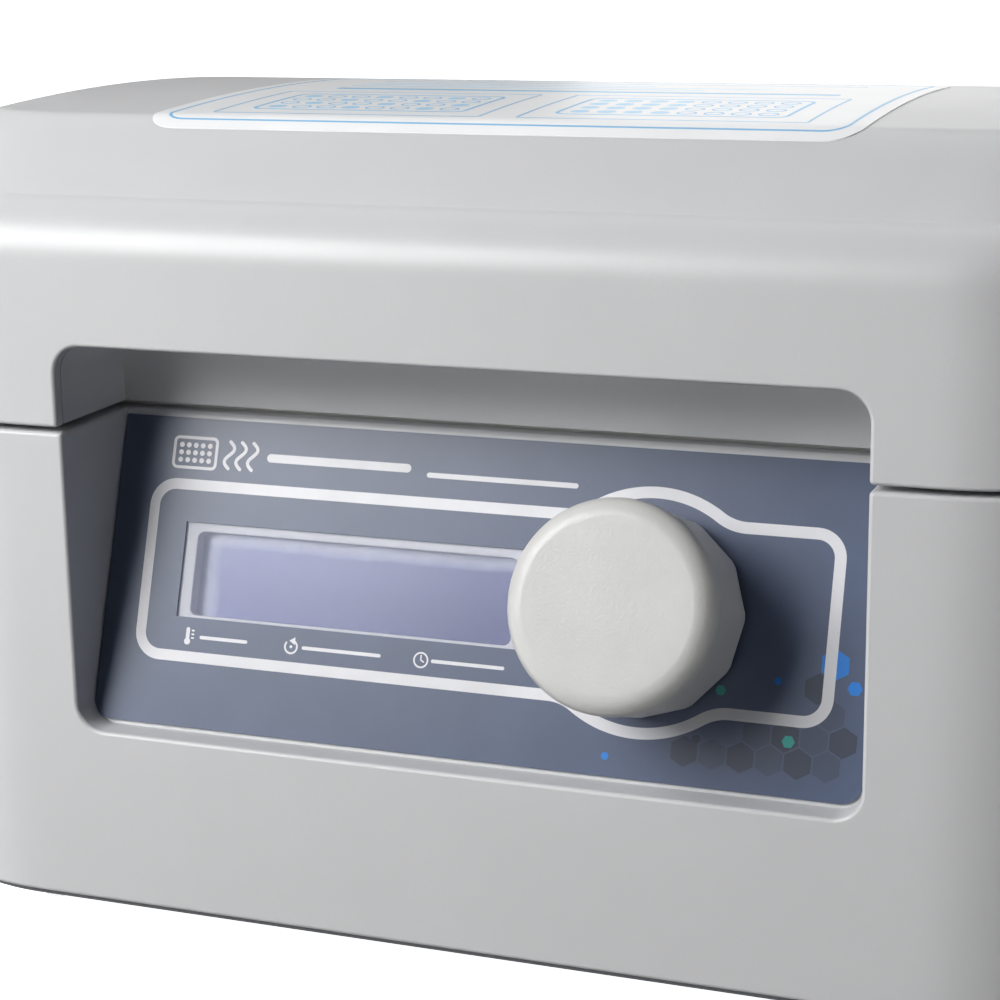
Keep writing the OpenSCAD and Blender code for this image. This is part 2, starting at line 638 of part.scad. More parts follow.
base_housing();
bottom_plate();
feet();
bottom_screws();
panel_overlay();
display_window();
display_glass();
display_module();
display_screws();
encoder_body();
encoder_nut();
push_plunger();
encoder_shaft();
knob_body();
knob_cap();
control_board();
power_board();
board_spacers();
board_screws();
power_inlet();
inlet_pins();
fuse_drawer();
switch_frame();
switch_rocker();
chamber_liner();
mechanism_plate();
plate_spacers();
spacer_screws();
motor_body();
motor_screws();
motor_shaft();
eccentric_hub();
hub_screw();
counterweight();
idler_housings();
idler_bearings();
idler_crank_left();
idler_crank_right();
idler_crank_rear();
shaker_platform();
nest_frame();
platform_bearings();
heating_pad();
temperature_probe();
plate_clips();
lid_cover();
lid_liner();
grip_pocket();
lid_insulation();
lid_heater_plate();
lid_seal();
lid_screws();
lid_label();
lid_magnet();
lid_sensor();
base_hinge_brackets();
base_hinge_screws();
lid_hinge_brackets();
lid_hinge_screws();
hinge_pins();
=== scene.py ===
import json
import math
import random

import bmesh
import bpy
import numpy as np
from mathutils import Matrix, Vector

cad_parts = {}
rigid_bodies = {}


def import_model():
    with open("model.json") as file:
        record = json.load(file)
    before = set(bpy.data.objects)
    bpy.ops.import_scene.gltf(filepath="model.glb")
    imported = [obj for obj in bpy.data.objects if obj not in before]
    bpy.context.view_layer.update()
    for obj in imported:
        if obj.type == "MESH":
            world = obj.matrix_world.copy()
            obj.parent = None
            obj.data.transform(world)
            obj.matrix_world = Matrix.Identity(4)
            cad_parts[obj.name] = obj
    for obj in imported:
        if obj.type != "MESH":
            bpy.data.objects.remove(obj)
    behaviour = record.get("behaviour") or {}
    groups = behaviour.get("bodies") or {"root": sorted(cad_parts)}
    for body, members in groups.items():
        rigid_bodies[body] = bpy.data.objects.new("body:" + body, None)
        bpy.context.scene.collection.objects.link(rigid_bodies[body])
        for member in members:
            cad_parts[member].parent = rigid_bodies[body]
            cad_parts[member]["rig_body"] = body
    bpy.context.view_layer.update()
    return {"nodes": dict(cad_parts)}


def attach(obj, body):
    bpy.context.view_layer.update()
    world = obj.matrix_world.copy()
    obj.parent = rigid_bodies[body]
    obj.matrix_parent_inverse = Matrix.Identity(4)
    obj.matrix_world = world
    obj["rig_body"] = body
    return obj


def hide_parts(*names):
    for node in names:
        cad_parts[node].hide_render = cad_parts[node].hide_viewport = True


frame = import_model()
nodes = frame["nodes"]
random.seed(7)

# ------------------------------------------------------------------ helpers
# Lengths below are millimetres; y runs from 0 at the front face to 186 at the rear face.
MM = 0.001
YM = 91.675
HW, DEPTH, CR = 118.0, 186.0, 37.0
TILT = math.radians(19.06)
ST, CT = math.sin(TILT), math.cos(TILT)


def vm(p):
    return (p[0] * MM, (p[1] - YM) * MM, p[2] * MM)


def panel(s, t, u=0.0):
    """A point given across the panel, down its slope and out of it."""
    return (s, 23.0 - t * ST - u * CT, 93.1 - t * CT + u * ST)


class Geo:
    """Vertices and faces in millimetres, with a material number per face."""

    def __init__(self):
        self.v, self.f, self.m = [], [], []

    def pts(self, points):
        n = len(self.v)
        self.v.extend(tuple(p) for p in points)
        return list(range(n, n + len(points)))

    def face(self, idx, mat=0):
        self.f.append(tuple(idx))
        self.m.append(mat)

    def strip(self, a, b, closed=True, mat=0, skip=()):
        n = len(a)
        for i in range(n if closed else n - 1):
            if i in skip:
                continue
            j = (i + 1) % n
            self.face((a[i], a[j], b[j], b[i]), mat)


def to_object(name, geo, mats, body, replaces=(), sharp=32, merge=0.002, weighted=True, recalc=True):
    me = bpy.data.meshes.new(name)
    me.from_pydata([vm(p) for p in geo.v], [], geo.f)
    for m in mats:
        me.materials.append(m)
    me.polygons.foreach_set("material_index", geo.m)
    bm = bmesh.new()
    bm.from_mesh(me)
    bmesh.ops.remove_doubles(bm, verts=bm.verts, dist=merge * MM)
    bmesh.ops.dissolve_degenerate(bm, edges=bm.edges, dist=merge * MM * 0.5)
    if recalc:
        bmesh.ops.recalc_face_normals(bm, faces=bm.faces)
    bm.to_mesh(me)
    bm.free()
    return finish_piece(bpy_object(name, me), body, replaces, sharp, weighted)


def bpy_object(name, me):
    ob = bpy.data.objects.new(name, me)
    bpy.context.scene.collection.objects.link(ob)
    return ob


def finish_piece(ob, body, replaces=(), sharp=32, weighted=True):
    me = ob.data
    me.shade_smooth()
    me.set_sharp_from_angle(angle=math.radians(sharp))
    if weighted:
        w = ob.modifiers.new("normals", "WEIGHTED_NORMAL")
        w.keep_sharp = True
        w.weight = 60
    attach(ob, body)
    if replaces:
        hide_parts(*replaces)
    return ob


def boolean(ob, cutter, mode="DIFFERENCE"):
    m = ob.modifiers.new("cut", "BOOLEAN")
    m.operation = mode
    m.solver = "EXACT"
    m.object = cutter
    dg = bpy.context.evaluated_depsgraph_get()
    me = bpy.data.meshes.new_from_object(ob.evaluated_get(dg))
    ob.modifiers.clear()
    old = ob.data
    ob.data = me
    bpy.data.meshes.remove(old)
    bpy.data.objects.remove(cutter)
    return ob


def raw(name, geo):
    me = bpy.data.meshes.new(name)
    me.from_pydata([vm(p) for p in geo.v], [], geo.f)
    bm = bmesh.new()
    bm.from_mesh(me)
    bmesh.ops.remove_doubles(bm, verts=bm.verts, dist=2e-6)
    bmesh.ops.recalc_face_normals(bm, faces=bm.faces)
    bm.to_mesh(me)
    bm.free()
    return bpy_object(name, me)


def arc(cx, cy, r, a0, a1, n):
    return [(cx + r * math.cos(math.radians(a0 + (a1 - a0) * i / n)), cy + r * math.sin(math.radians(a0 + (a1 - a0) * i / n))) for i in range(n + 1)]


def rrect(x0, y0, x1, y1, r, n=10):
    """Rounded rectangle, anticlockwise."""
    return (arc(x0 + r, y0 + r, r, 180, 270, n) + arc(x1 - r, y0 + r, r, 270, 360, n)
            + arc(x1 - r, y1 - r, r, 0, 90, n) + arc(x0 + r, y1 - r, r, 90, 180, n))


def prism(loop_a, loop_b):
    """A closed solid between two loops of 3-D points."""
    g = Geo()
    a, b = g.pts(loop_a), g.pts(loop_b)
    g.strip(a, b)
    g.face(a[::-1])
    g.face(b)
    return g


def box_geo(x0, x1, y0, y1, z0, z1):
    q = [(x0, y0), (x1, y0), (x1, y1), (x0, y1)]
    return prism([(x, y, z0) for x, y in q], [(x, y, z1) for x, y in q])


def cyl_geo(centre, axis, r, h, n=48):
    c, a = Vector(centre), Vector(axis).normalized()
    u = a.orthogonal().normalized()
    w = a.cross(u)
    ring = [c + u * r * math.cos(2 * math.pi * i / n) + w * r * math.sin(2 * math.pi * i / n) for i in range(n)]
    return prism(ring, [p + a * h for p in ring])


def bevel_edges(ob, pick, width, segments=3, clamp=False):
    """Rounds the edges for which pick(edge, angle) is true; points reach pick in millimetres."""
    bm = bmesh.new()
    bm.from_mesh(ob.data)
    chosen = []
    for e in bm.edges:
        if len(e.link_faces) != 2:
            continue
        ang = math.degrees(e.calc_face_angle_signed(0.0))
        a, b = (Vector((v.co.x / MM, v.co.y / MM + YM, v.co.z / MM)) for v in e.verts)
        if pick(a, b, ang):
            chosen.append(e)
    bmesh.ops.bevel(bm, geom=chosen, offset=width * MM, offset_type="OFFSET", segments=segments, profile=0.5,
                    affect="EDGES", clamp_overlap=clamp, miter_outer="SHARP", miter_inner="SHARP")
    bmesh.ops.remove_doubles(bm, verts=bm.verts, dist=2e-6)
    bm.to_mesh(ob.data)
    bm.free()
    return ob


# ------------------------------------------------------------------ materials
def srgb(r, g, b):
    return tuple((c / 255 / 12.92) if c / 255 <= 0.04045 else ((c / 255 + 0.055) / 1.055) ** 2.4 for c in (r, g, b)) + (1.0,)


class Nodes:
    def __init__(self, name):
        self.mat = bpy.data.materials.new(name)
        self.mat.use_nodes = True
        self.nt = self.mat.node_tree
        self.bsdf = self.nt.nodes["Principled BSDF"]
        self.coord = self.nt.nodes.new("ShaderNodeTexCoord").outputs["Object"]

    def new(self, kind, **props):
        n = self.nt.nodes.new(kind)
        for k, v in props.items():
            setattr(n, k, v)
        return n

    def link(self, a, b):
        self.nt.links.new(a, b)
        return b

    def noise(self, size_mm, detail=2.0, rough=0.5, stretch=None, distortion=0.0):
        n = self.new("ShaderNodeTexNoise")
        n.inputs["Scale"].default_value = 1000.0 / size_mm
        n.inputs["Detail"].default_value = detail
        n.inputs["Roughness"].default_value = rough
        n.inputs["Distortion"].default_value = distortion
        src = self.coord
        if stretch:
            m = self.new("ShaderNodeMapping")
            m.inputs["Scale"].default_value = stretch
            self.link(self.coord, m.inputs["Vector"])
            src = m.outputs["Vector"]
        self.link(src, n.inputs["Vector"])
        return n.outputs["Fac"]

    def voronoi(self, size_mm, feature="F1", out="Distance", rand=1.0):
        n = self.new("ShaderNodeTexVoronoi", feature=feature)
        n.inputs["Scale"].default_value = 1000.0 / size_mm
        n.inputs["Randomness"].default_value = rand
        self.link(self.coord, n.inputs["Vector"])
        return n.outputs[out]

    def ramp(self, fac, stops, interp="LINEAR"):
        n = self.new("ShaderNodeValToRGB")
        n.color_ramp.interpolation = interp
        e = n.color_ramp.elements
        while len(e) > 1:
            e.remove(e[-1])
        for i, (p, c) in enumerate(stops):
            el = e[0] if i == 0 else e.new(p)
            el.position = p
            el.color = c if len(c) == 4 else (*c, 1.0)
        self.link(fac, n.inputs["Fac"])
        return n.outputs["Color"]

    def math(self, op, a, b=None, c=None, clamp=False):
        n = self.new("ShaderNodeMath", operation=op, use_clamp=clamp)
        for i, x in enumerate((a, b, c)):
            if x is None:
                continue
            if isinstance(x, (int, float)):
                n.inputs[i].default_value = x
            else:
                self.link(x, n.inputs[i])
        return n.outputs[0]

    def remap(self, v, a, b, c, d, clamp=True):
        n = self.new("ShaderNodeMapRange", clamp=clamp)
        self.link(v, n.inputs["Value"])
        for k, x in zip(("From Min", "From Max", "To Min", "To Max"), (a, b, c, d)):
            n.inputs[k].default_value = x
        return n.outputs["Result"]

    def mix(self, fac, a, b, mode="MIX"):
        n = self.new("ShaderNodeMix", data_type="RGBA", blend_type=mode)
        for sock, x in ((n.inputs[0], fac), (n.inputs[6], a), (n.inputs[7], b)):
            if isinstance(x, (int, float)):
                sock.default_value = x
            elif isinstance(x, tuple):
                sock.default_value = x if len(x) == 4 else (*x, 1.0)
            else:
                self.link(x, sock)
        return n.outputs[2]

    def bump(self, height, distance_mm, strength=1.0, normal=None):
        n = self.new("ShaderNodeBump")
        n.inputs["Strength"].default_value = strength
        n.inputs["Distance"].default_value = distance_mm * MM
        self.link(height, n.inputs["Height"])
        if normal is not None:
            self.link(normal, n.inputs["Normal"])
        return n.outputs["Normal"]

    def set(self, **inputs):
        for k, v in inputs.items():
            sock = self.bsdf.inputs[k.replace("_", " ")]
            if isinstance(v, (int, float)):
                sock.default_value = v
            elif isinstance(v, tuple):
                sock.default_value = v if len(v) == 4 else (*v, 1.0)
            else:
                self.link(v, sock)
        return self


def scaled(c, k):
    return (c[0] * k, c[1] * k, c[2] * k, 1.0)


def moulded(name, colour, rough=0.42, grain_mm=0.42, grain_h=0.010, var=0.03, specks=0.0, spec=0.5, fine=True):
    """Moulded plastic: spark texture, faint mottling, a few dust specks."""
    n = Nodes(name)
    grain = n.noise(grain_mm, 3.0, 0.6)
    blot = n.noise(14.0, 3.0, 0.55)
    tone = n.ramp(blot, [(0.25, scaled(colour, 1 - var)), (0.75, scaled(colour, 1 + var * 0.6))])
    tone = n.mix(n.remap(grain, 0.3, 0.7, 0.0, 1.0), scaled(colour, 0.985), tone, "MIX") if fine else tone
    if specks:
        d = n.voronoi(5.0)
        jitter = n.noise(0.6, 2.0)
        dot = n.math("LESS_THAN", n.math("ADD", d, n.math("MULTIPLY", jitter, 0.05)), specks)
        pick = n.math("GREATER_THAN", n.noise(23.0, 1.0), 0.55)
        tone = n.mix(n.math("MULTIPLY", n.math("MULTIPLY", dot, pick), 0.45), tone, scaled(colour, 0.35))
    n.set(Base_Color=tone)
    n.set(Roughness=n.remap(blot, 0.2, 0.8, rough - 0.03, rough + 0.05))
    n.set(Specular_IOR_Level=spec)
    n.set(Normal=n.bump(grain, grain_h))
    return n.mat


def metal(name, colour, rough=0.3, brushed=None, size=0.25, bump=0.002, aniso=0.0):
    n = Nodes(name)
    g = n.noise(size, 3.0, 0.6, stretch=brushed)
    blot = n.noise(9.0, 3.0)
    n.set(Base_Color=n.ramp(blot, [(0.2, scaled(colour, 0.9)), (0.8, scaled(colour, 1.05))]), Metallic=1.0)
    n.set(Roughness=n.remap(g, 0.25, 0.75, max(0.05, rough - 0.07), rough + 0.09))
    n.set(Normal=n.bump(g, bump))
    return n.mat


C_BODY = (0.600, 0.603, 0.612)
M = {}
M["shell"] = moulded("moulded_shell", C_BODY, rough=0.35, grain_mm=0.45, grain_h=0.014, specks=0.03)
M["liner"] = moulded("moulded_liner", (0.56, 0.566, 0.570), rough=0.36, grain_mm=0.9, grain_h=0.004, specks=0.03)
M["tub"] = moulded("moulded_tub", (0.50, 0.51, 0.52), rough=0.40, grain_mm=0.5, grain_h=0.006)
M["bottom"] = moulded("painted_bottom", (0.075, 0.080, 0.088), rough=0.50, grain_mm=0.6, grain_h=0.012)
M["foot"] = moulded("rubber_foot", (0.018, 0.018, 0.020), rough=0.72, grain_mm=0.35, grain_h=0.012, spec=0.35)
M["steel"] = metal("steel_screw", (0.58, 0.58, 0.59), 0.28)
M["zinc"] = metal("zinc_hinge", (0.52, 0.53, 0.55), 0.36, size=0.5)
M["brass"] = metal("brass_turned", (0.72, 0.50, 0.22), 0.30, brushed=(1, 1, 14))
M["alu"] = metal("aluminium_milled", (0.66, 0.67, 0.69), 0.34, brushed=(16, 1, 1), size=0.9)
M["alu_plate"] = metal("aluminium_sheet", (0.62, 0.63, 0.65), 0.40, brushed=(1, 16, 1), size=0.9)
M["weight"] = metal("machined_weight", (0.26, 0.26, 0.27), 0.38)
M["bearing"] = metal("bearing_steel", (0.62, 0.62, 0.63), 0.16)
M["pins"] = metal("plated_pins", (0.68, 0.66, 0.60), 0.18)
M["motor"] = moulded("painted_motor", (0.03, 0.03, 0.034), rough=0.34, grain_mm=0.3, grain_h=0.006)
M["black"] = moulded("black_plastic", (0.016, 0.016, 0.018), rough=0.30, grain_mm=0.3, grain_h=0.004)
M["drawer"] = moulded("drawer_plastic", (0.03, 0.03, 0.033), rough=0.26, grain_mm=0.4, grain_h=0.004)
M["rocker"] = moulded("rocker_plastic", (0.022, 0.022, 0.025), rough=0.22, grain_mm=0.5, grain_h=0.003)
M["board"] = moulded("board_green", (0.012, 0.075, 0.030), rough=0.32, grain_mm=1.2, grain_h=0.01)
M["board_blue"] = moulded("board_dark", (0.010, 0.040, 0.028), rough=0.32, grain_mm=1.2, grain_h=0.01)
M["encoder"] = moulded("encoder_plastic", (0.035, 0.035, 0.038), rough=0.4)
M["pad"] = moulded("silicone_pad", (0.30, 0.045, 0.016), rough=0.5, grain_mm=0.8, grain_h=0.02)
M["foam"] = moulded("foam", (0.70, 0.68, 0.60), rough=0.85, grain_mm=0.7, grain_h=0.06)
M["seal"] = moulded("silicone_seal", (0.62, 0.62, 0.60), rough=0.48, grain_mm=0.5, grain_h=0.006)
M["magnet"] = metal("plated_magnet", (0.55, 0.55, 0.56), 0.2)
M["sensor"] = moulded("sensor_plastic", (0.03, 0.03, 0.033), rough=0.45)
M["plunger"] = moulded("plunger_plastic", (0.62, 0.62, 0.60), rough=0.4)
M["glass_pcb"] = M["board"]


def knob_material():
    n = Nodes("knob_grained")
    colour = (0.62, 0.618, 0.602)
    g = n.noise(0.55, 3.0, 0.62)
    f = n.noise(0.16, 2.0, 0.5)
    blot = n.noise(8.0, 2.0)
    n.set(Base_Color=n.ramp(blot, [(0.3, scaled(colour, 0.97)), (0.7, scaled(colour, 1.02))]))
    n.set(Roughness=0.36, Specular_IOR_Level=0.5)
    h = n.math("ADD", n.math("MULTIPLY", g, 1.0), n.math("MULTIPLY", f, 0.25))
    n.set(Normal=n.bump(h, 0.060))
    return n.mat


def film_material(name, colour, rough=0.36, bump=0.014, spec=0.58):
    """The printed film: embossed grain over a flat ink colour."""
    n = Nodes(name)
    g = n.noise(0.30, 2.5, 0.6)
    blot = n.noise(11.0, 2.0)
    n.set(Base_Color=n.ramp(blot, [(0.3, scaled(colour, 0.94)), (0.7, scaled(colour, 1.05))]))
    n.set(Roughness=rough, Specular_IOR_Level=spec)
    n.set(Normal=n.bump(g, bump))
    return n.mat


M["knob"] = knob_material()
M["film"] = film_material("film_navy", (0.061, 0.086, 0.155))
M["ink_white"] = film_material("ink_white", (0.70, 0.70, 0.73), spec=0.6)
M["ink_dark"] = film_material("ink_dark", (0.030, 0.040, 0.070))
M["ink_mid"] = film_material("ink_mid", (0.045, 0.062, 0.108))
M["ink_teal"] = film_material("ink_teal", srgb(40, 158, 150)[:3])
M["ink_blue"] = film_material("ink_blue", srgb(12, 118, 205)[:3])

# ------------------------------------------------------------------ lid cover
LID_TOP, SIDE_K, WALL_L, REC_D, REC_H = 147.9, 0.55, 2.2, 24.2, 14.4
RB = 0.75   # rounding of the lid's and base's free edges


def crown(y):
    e = y - 76.5
    return LID_TOP - (0.0007 * e * e if abs(e) < 54 else 0.0007 * 54 * (2 * abs(e) - 54))


def rise(s):
    if s <= -0.5:
        return 0.0
    if s < 0.5:
        return 0.061 * (s + 0.5) ** 2 / 2
    if s < 11:
        return 0.061 * s
    if s < 21.8:
        return 0.671 + 0.061 * (s - 11) - 0.061 * (s - 11) ** 2 / 21.6
    return 1.0


def lid_z(fi, y, t=0.0):
    f = min(fi, 10.0)
    if t:
        zf = 124 - t * 0.4 + (10 - t * 0.6) * math.sqrt(max(0.0, 1 - ((10 - f) / (10 - t)) ** 2)) if f > t else 124 - t * 0.4
    else:
        zf = 124 + math.sqrt(max(0.0, 100 - (10 - f) ** 2))
    return zf + rise(fi - 10) * (crown(y) - 134)


def ring_xy(fi, si, na=24, ns=24, uniform=False):
    rx = CR - si if uniform else max(CR - si, 8.0)
    ry = CR - fi if uniform else max(CR - fi, 5.0)
    cx, cy0, cy1 = HW - si - rx, fi + ry, DEPTH - fi - ry
    k = 78.0 / 81.0
    p = [(-cx, fi), (-cx * k, fi), (cx * k, fi), (cx, fi)]
    q = lambda ox, oy, a0: [(ox + rx * math.cos(math.radians(a0 + 90 * i / na)), oy + ry * math.sin(math.radians(a0 + 90 * i / na))) for i in range(1, na)]
    p += q(cx, cy0, 270)
    p += [(HW - si, cy0 + (cy1 - cy0) * i / ns) for i in range(ns + 1)]
    p += q(cx, cy1, 0)
    p += [(cx, DEPTH - fi), (cx * k, DEPTH - fi), (-cx * k, DEPTH - fi), (-cx, DEPTH - fi)]
    p += q(-cx, cy1, 90)
    p += [(-HW + si, cy1 + (cy0 - cy1) * i / ns) for i in range(ns + 1)]
    p += q(-cx, cy0, 180)
    return p


def notch(x0, x1, z_edge, z_far, up, r, rc, n=12, na=6):
    """Outline of a recess open at an edge: points and outward normals, left to right.
    up is +1 when the material lies above the edge, -1 when it lies below."""
    pts, nor = [], []

    def add(x, z, nx, nz):
        pts.append((x, z))
        nor.append((nx, nz))

    def sweep(cx, cz, rad, a0, a1, k, sign):
        for i in range(k + 1):
            a = math.radians(a0 + (a1 - a0) * i / k)
            add(cx + rad * math.cos(a), cz + rad * math.sin(a) * up, sign * math.cos(a), sign * math.sin(a) * up)

    zf = z_far
    add(-78.0, z_edge, 0, -up)
    sweep(x0 - r, z_edge + r * up, r, -90, 0, na, 1)
    sweep(x0 + rc, zf - rc * up, rc, 180, 90, n, -1)
    sweep(x1 - rc, zf - rc * up, rc, 90, 0, n, -1)
    sweep(x1 + r, z_edge + r * up, r, 180, 270, na, 1)
    add(78.0, z_edge, 0, -up)
    return pts, nor


def build_lid_cover():
    g = Geo()
    K = 5
    levels = []
    for k in range(K + 1):
        a = math.radians(90 * k / K)
        i = RB * (1 - math.sin(a))
        z = 95 + RB * (1 - math.cos(a))
        levels.append(g.pts([(x, y, z) for x, y in ring_xy(i, i, uniform=True)]))
    for z in (116.0, 124.0):
        levels.append(g.pts([(x, y, z) for x, y in ring_xy(0, 0)]))
    fis = [10 * (1 - math.cos(math.radians(a))) for a in np.linspace(0, 90, 21)[1:]]
    fis = [f for f in fis if f < 9.45] + [9.5, 9.75, 10.0, 10.25, 10.5]
    fis += [11, 12, 13.5, 15, 17, 19, 21, 22, 23, 24, 25, 26, 27, 28, 29, 30, 31, 31.8]
    for f in fis:
        levels.append(g.pts([(x, y, lid_z(f, y)) for x, y in ring_xy(f, f * SIDE_K)]))
    for q in (0.06, 0.12, 0.2, 0.28, 0.36, 0.44, 0.52, 0.6, 0.68, 0.76, 0.84, 0.91, 0.97):
        f, s = 31.8 + 61.2 * q, 17.49 + 70 * q
        levels.append(g.pts([(x, y, lid_z(31.8, y)) for x, y in ring_xy(f, s)]))
    for j in range(len(levels) - 1):
        skip = (1,) if j <= K else ()
        g.strip(levels[j], levels[j + 1], skip=skip)
    g.face(levels[-1])
    # inner skin
    t = WALL_L
    inner = [g.pts([(x, y, 95.0) for x, y in ring_xy(t, t, uniform=True)])]
    inner.append(g.pts([(x, y, 116.0) for x, y in ring_xy(t, t, uniform=True)]))
    inner.append(g.pts([(x, y, 124.0 - t * 0.4) for x, y in ring_xy(t, t, uniform=True)]))
    for a in np.linspace(0, 90, 9)[1:]:
        c = 1 - math.cos(math.radians(a))
        z = 124 - t * 0.4 + (10 - t * 0.6) * math.sin(math.radians(a))
        inner.append(g.pts([(x, y, z) for x, y in ring_xy(t + (10 - t) * c, t + (10 - t) * SIDE_K * c)]))
    for s in (3, 6, 9, 11, 13, 15.5, 18, 21.8):
        inner.append(g.pts([(x, y, 134 - t + rise(s) * (crown(y) - 134)) for x, y in ring_xy(10 + s, t * 0.45 + 5.5 + s * SIDE_K)]))
    for q in (0.2, 0.4, 0.6, 0.8, 0.96):
        inner.append(g.pts([(x, y, crown(y) - t) for x, y in ring_xy(31.8 + 61.2 * q, 18.5 + 69 * q)]))
    for j in range(len(inner) - 1):
        g.strip(inner[j + 1], inner[j], skip=(1,) if j == 0 else ())
    g.face(inner[-1][::-1])
    g.strip(inner[0], levels[0], skip=(1,))
    # front wall with the finger recess
    pts, nor = notch(-71.0, 71.0, 95.0, 95.0 + REC_H, 1, RB, 5.0)
    rows = []
    for k in range(K + 1):
        a = math.radians(90 * k / K)
        d, y = RB * (1 - math.sin(a)), RB * (1 - math.cos(a))
        rows.append(g.pts([(p[0] - m[0] * d, y, p[1] - m[1] * d) for p, m in zip(pts, nor)]))
    rows.append(g.pts([(p[0], t, p[1]) for p in pts]))
    for j in range(len(rows) - 1):
        g.strip(rows[j], rows[j + 1], closed=False)
    zk = levels[K]
    z116 = levels[K + 1]
    g.face([zk[1], z116[1], z116[2], zk[2]] + rows[0][::-1][1:-1])
    g.face(([inner[0][1], inner[1][1], inner[1][2], inner[0][2]] + rows[-1][::-1][1:-1])[::-1])
    return to_object("lid_shell", g, [M["shell"]], "lid", ("lid_cover",), sharp=40)


build_lid_cover()

# ------------------------------------------------------------------ base housing
Z_BASE, Z_LOW = 94.05, 8.0


def panel_cut(t, u):
    return (23.0 - t * ST - u * CT, 93.1 - t * CT + u * ST)


def build_base():
    def outer(i):
        return ring_xy(i, i, na=24, ns=1, uniform=True)
    ob = raw("base_shell", prism([(x, y, Z_LOW) for x, y in outer(0)], [(x, y, Z_BASE) for x, y in outer(0)]))
    # recess: rounded outline in front view, ended by the panel plane
    prof = arc(-65.2, 45.1, 5, 180, 270, 12) + arc(66.0, 45.1, 5, 270, 360, 12) + [(71.0, 100.0), (-70.2, 100.0)]
    def y_end(z):
        t = (93.1 - 0.5 * ST - z) / CT
        return 23.0 - t * ST + 0.5 * CT
    cut = raw("cut", prism([(x, -3.0, z) for x, z in prof], [(x, y_end(z), z) for x, z in prof]))
    boolean(ob, cut)
    bevel_edges(ob, lambda a, b, ang: ang > 30 and not (a.y > 3 and b.y > 3 and a.z < 90 and b.z < 90 and a.z > 20 and b.z > 20), RB, 4)
    # inside: cavity without the block behind the panel
    inn = ring_xy(2.8, 2.8, na=12, ns=1, uniform=True)
    cav = raw("cav", prism([(x, y, Z_LOW - 2) for x, y in inn], [(x, y, 91.4) for x, y in inn]))
    ya, za = panel_cut(55.5, -3.2)
    yb, zb = panel_cut(0, -3.2)
    side = [(-1, 37.2), (7.0, 37.2), (ya, za), (yb, zb), (yb + 0.35, 99.0), (-1, 99.0)]
    block = raw("block", prism([(-72.8, y, z) for y, z in side], [(73.6, y, z) for y, z in side]))
    boolean(cav, block)
    boolean(ob, cav)
    op = rrect(-104.9, 27.7, 104.9, 178.3, 13.9, 8)
    boolean(ob, raw("c", prism([(x, y, Z_BASE - 1.5) for x, y in op], [(x, y, Z_BASE + 2) for x, y in op])))
    op = rrect(-99.6, 30, 99.6, 174, 9.6, 8)
    boolean(ob, raw("c", prism([(x, y, Z_BASE - 6) for x, y in op], [(x, y, Z_BASE + 2) for x, y in op])))
    win = rrect(-53.2, 20.3, 7.6, 35.2, 1.2, 6)
    boolean(ob, raw("c", prism([panel(s, t, -6) for s, t in win], [panel(s, t, 1.5) for s, t in win])))
    boolean(ob, raw("c", cyl_geo(panel(31.2, 27.6, -6), (0, -CT, ST), 3.6, 8)))
    boolean(ob, raw("c", box_geo(72 - 13.6, 72 + 13.6, 180, 190, 40 - 16.1, 40 + 16.1)))
    boolean(ob, raw("c", box_geo(34 - 6.6, 34 + 6.6, 180, 190, 40 - 9.6, 40 + 9.6)))
    for i in range(9):
        x0 = -92 + 7 * i
        boolean(ob, raw("c", prism([(x, 180, z) for x, z in rrect(x0, 26, x0 + 3, 54, 1.45, 5)], [(x, 190, z) for x, z in rrect(x0, 26, x0 + 3, 54, 1.45, 5)])))
    # small rounding of the display window's edge and the vents
    def small(a, b, ang):
        if ang < 40:
            return False
        for p in (a, b):
            ok = False
            t = (93.1 - p.z) / CT
            u = (23.0 - t * ST - p.y) * CT + 0 * t
            if -54 < p.x < 8.5 and 18 < t < 38 and 10 < p.y < 24 and abs((p.y - (23.0 - t * ST)) * CT - 0.5) < 0.12:
                ok = True
            if p.y > 185.9 and -93 < p.x < -32 and 25 < p.z < 55:
                ok = True
            if not ok:
                return False
        return True
    bevel_edges(ob, small, 0.3, 2)
    me = ob.data
    me.materials.clear()
    me.materials.append(M["shell"])
    return finish_piece(ob, "root", ("base_housing",), sharp=40)


build_base()

# ------------------------------------------------------------------ control panel
def fill_loops(loops, place, u0, u1, name, mats, body, slot, replaces=(), mat=0):
    """A plate with holes: the first loop is the outline, the others are holes."""
    bm = bmesh.new()
    edges = []
    rings = []
    for lp in loops:
        vs = [bm.verts.new((p[0], p[1], 0)) for p in lp]
        rings.append(vs)
        for i in range(len(vs)):
            edges.append(bm.edges.new((vs[i], vs[(i + 1) % len(vs)])))
    res = bmesh.ops.triangle_fill(bm, use_beauty=True, use_dissolve=False, edges=edges, normal=(0, 0, 1))
    bm.verts.index_update()
    tris = [[v.index for v in f.verts] for f in bm.faces]
    co = [(v.co.x, v.co.y) for v in bm.verts]
    ring_idx = [[v.index for v in r] for r in rings]
    bm.free()
    g = Geo()
    top = g.pts([place(x, y, u1) for x, y in co])
    bot = g.pts([place(x, y, u0) for x, y in co])
    for tr in tris:
        g.face([top[i] for i in tr], mat)
        g.face([bot[i] for i in tr][::-1], mat)
    for r in ring_idx:
        g.strip([bot[i] for i in r], [top[i] for i in r], mat=mat)
    return g


def merge_geo(a, b):
    n = len(a.v)
    a.v.extend(b.v)
    a.f.extend(tuple(i + n for i in f) for f in b.f)
    a.m.extend(b.m)
    return a


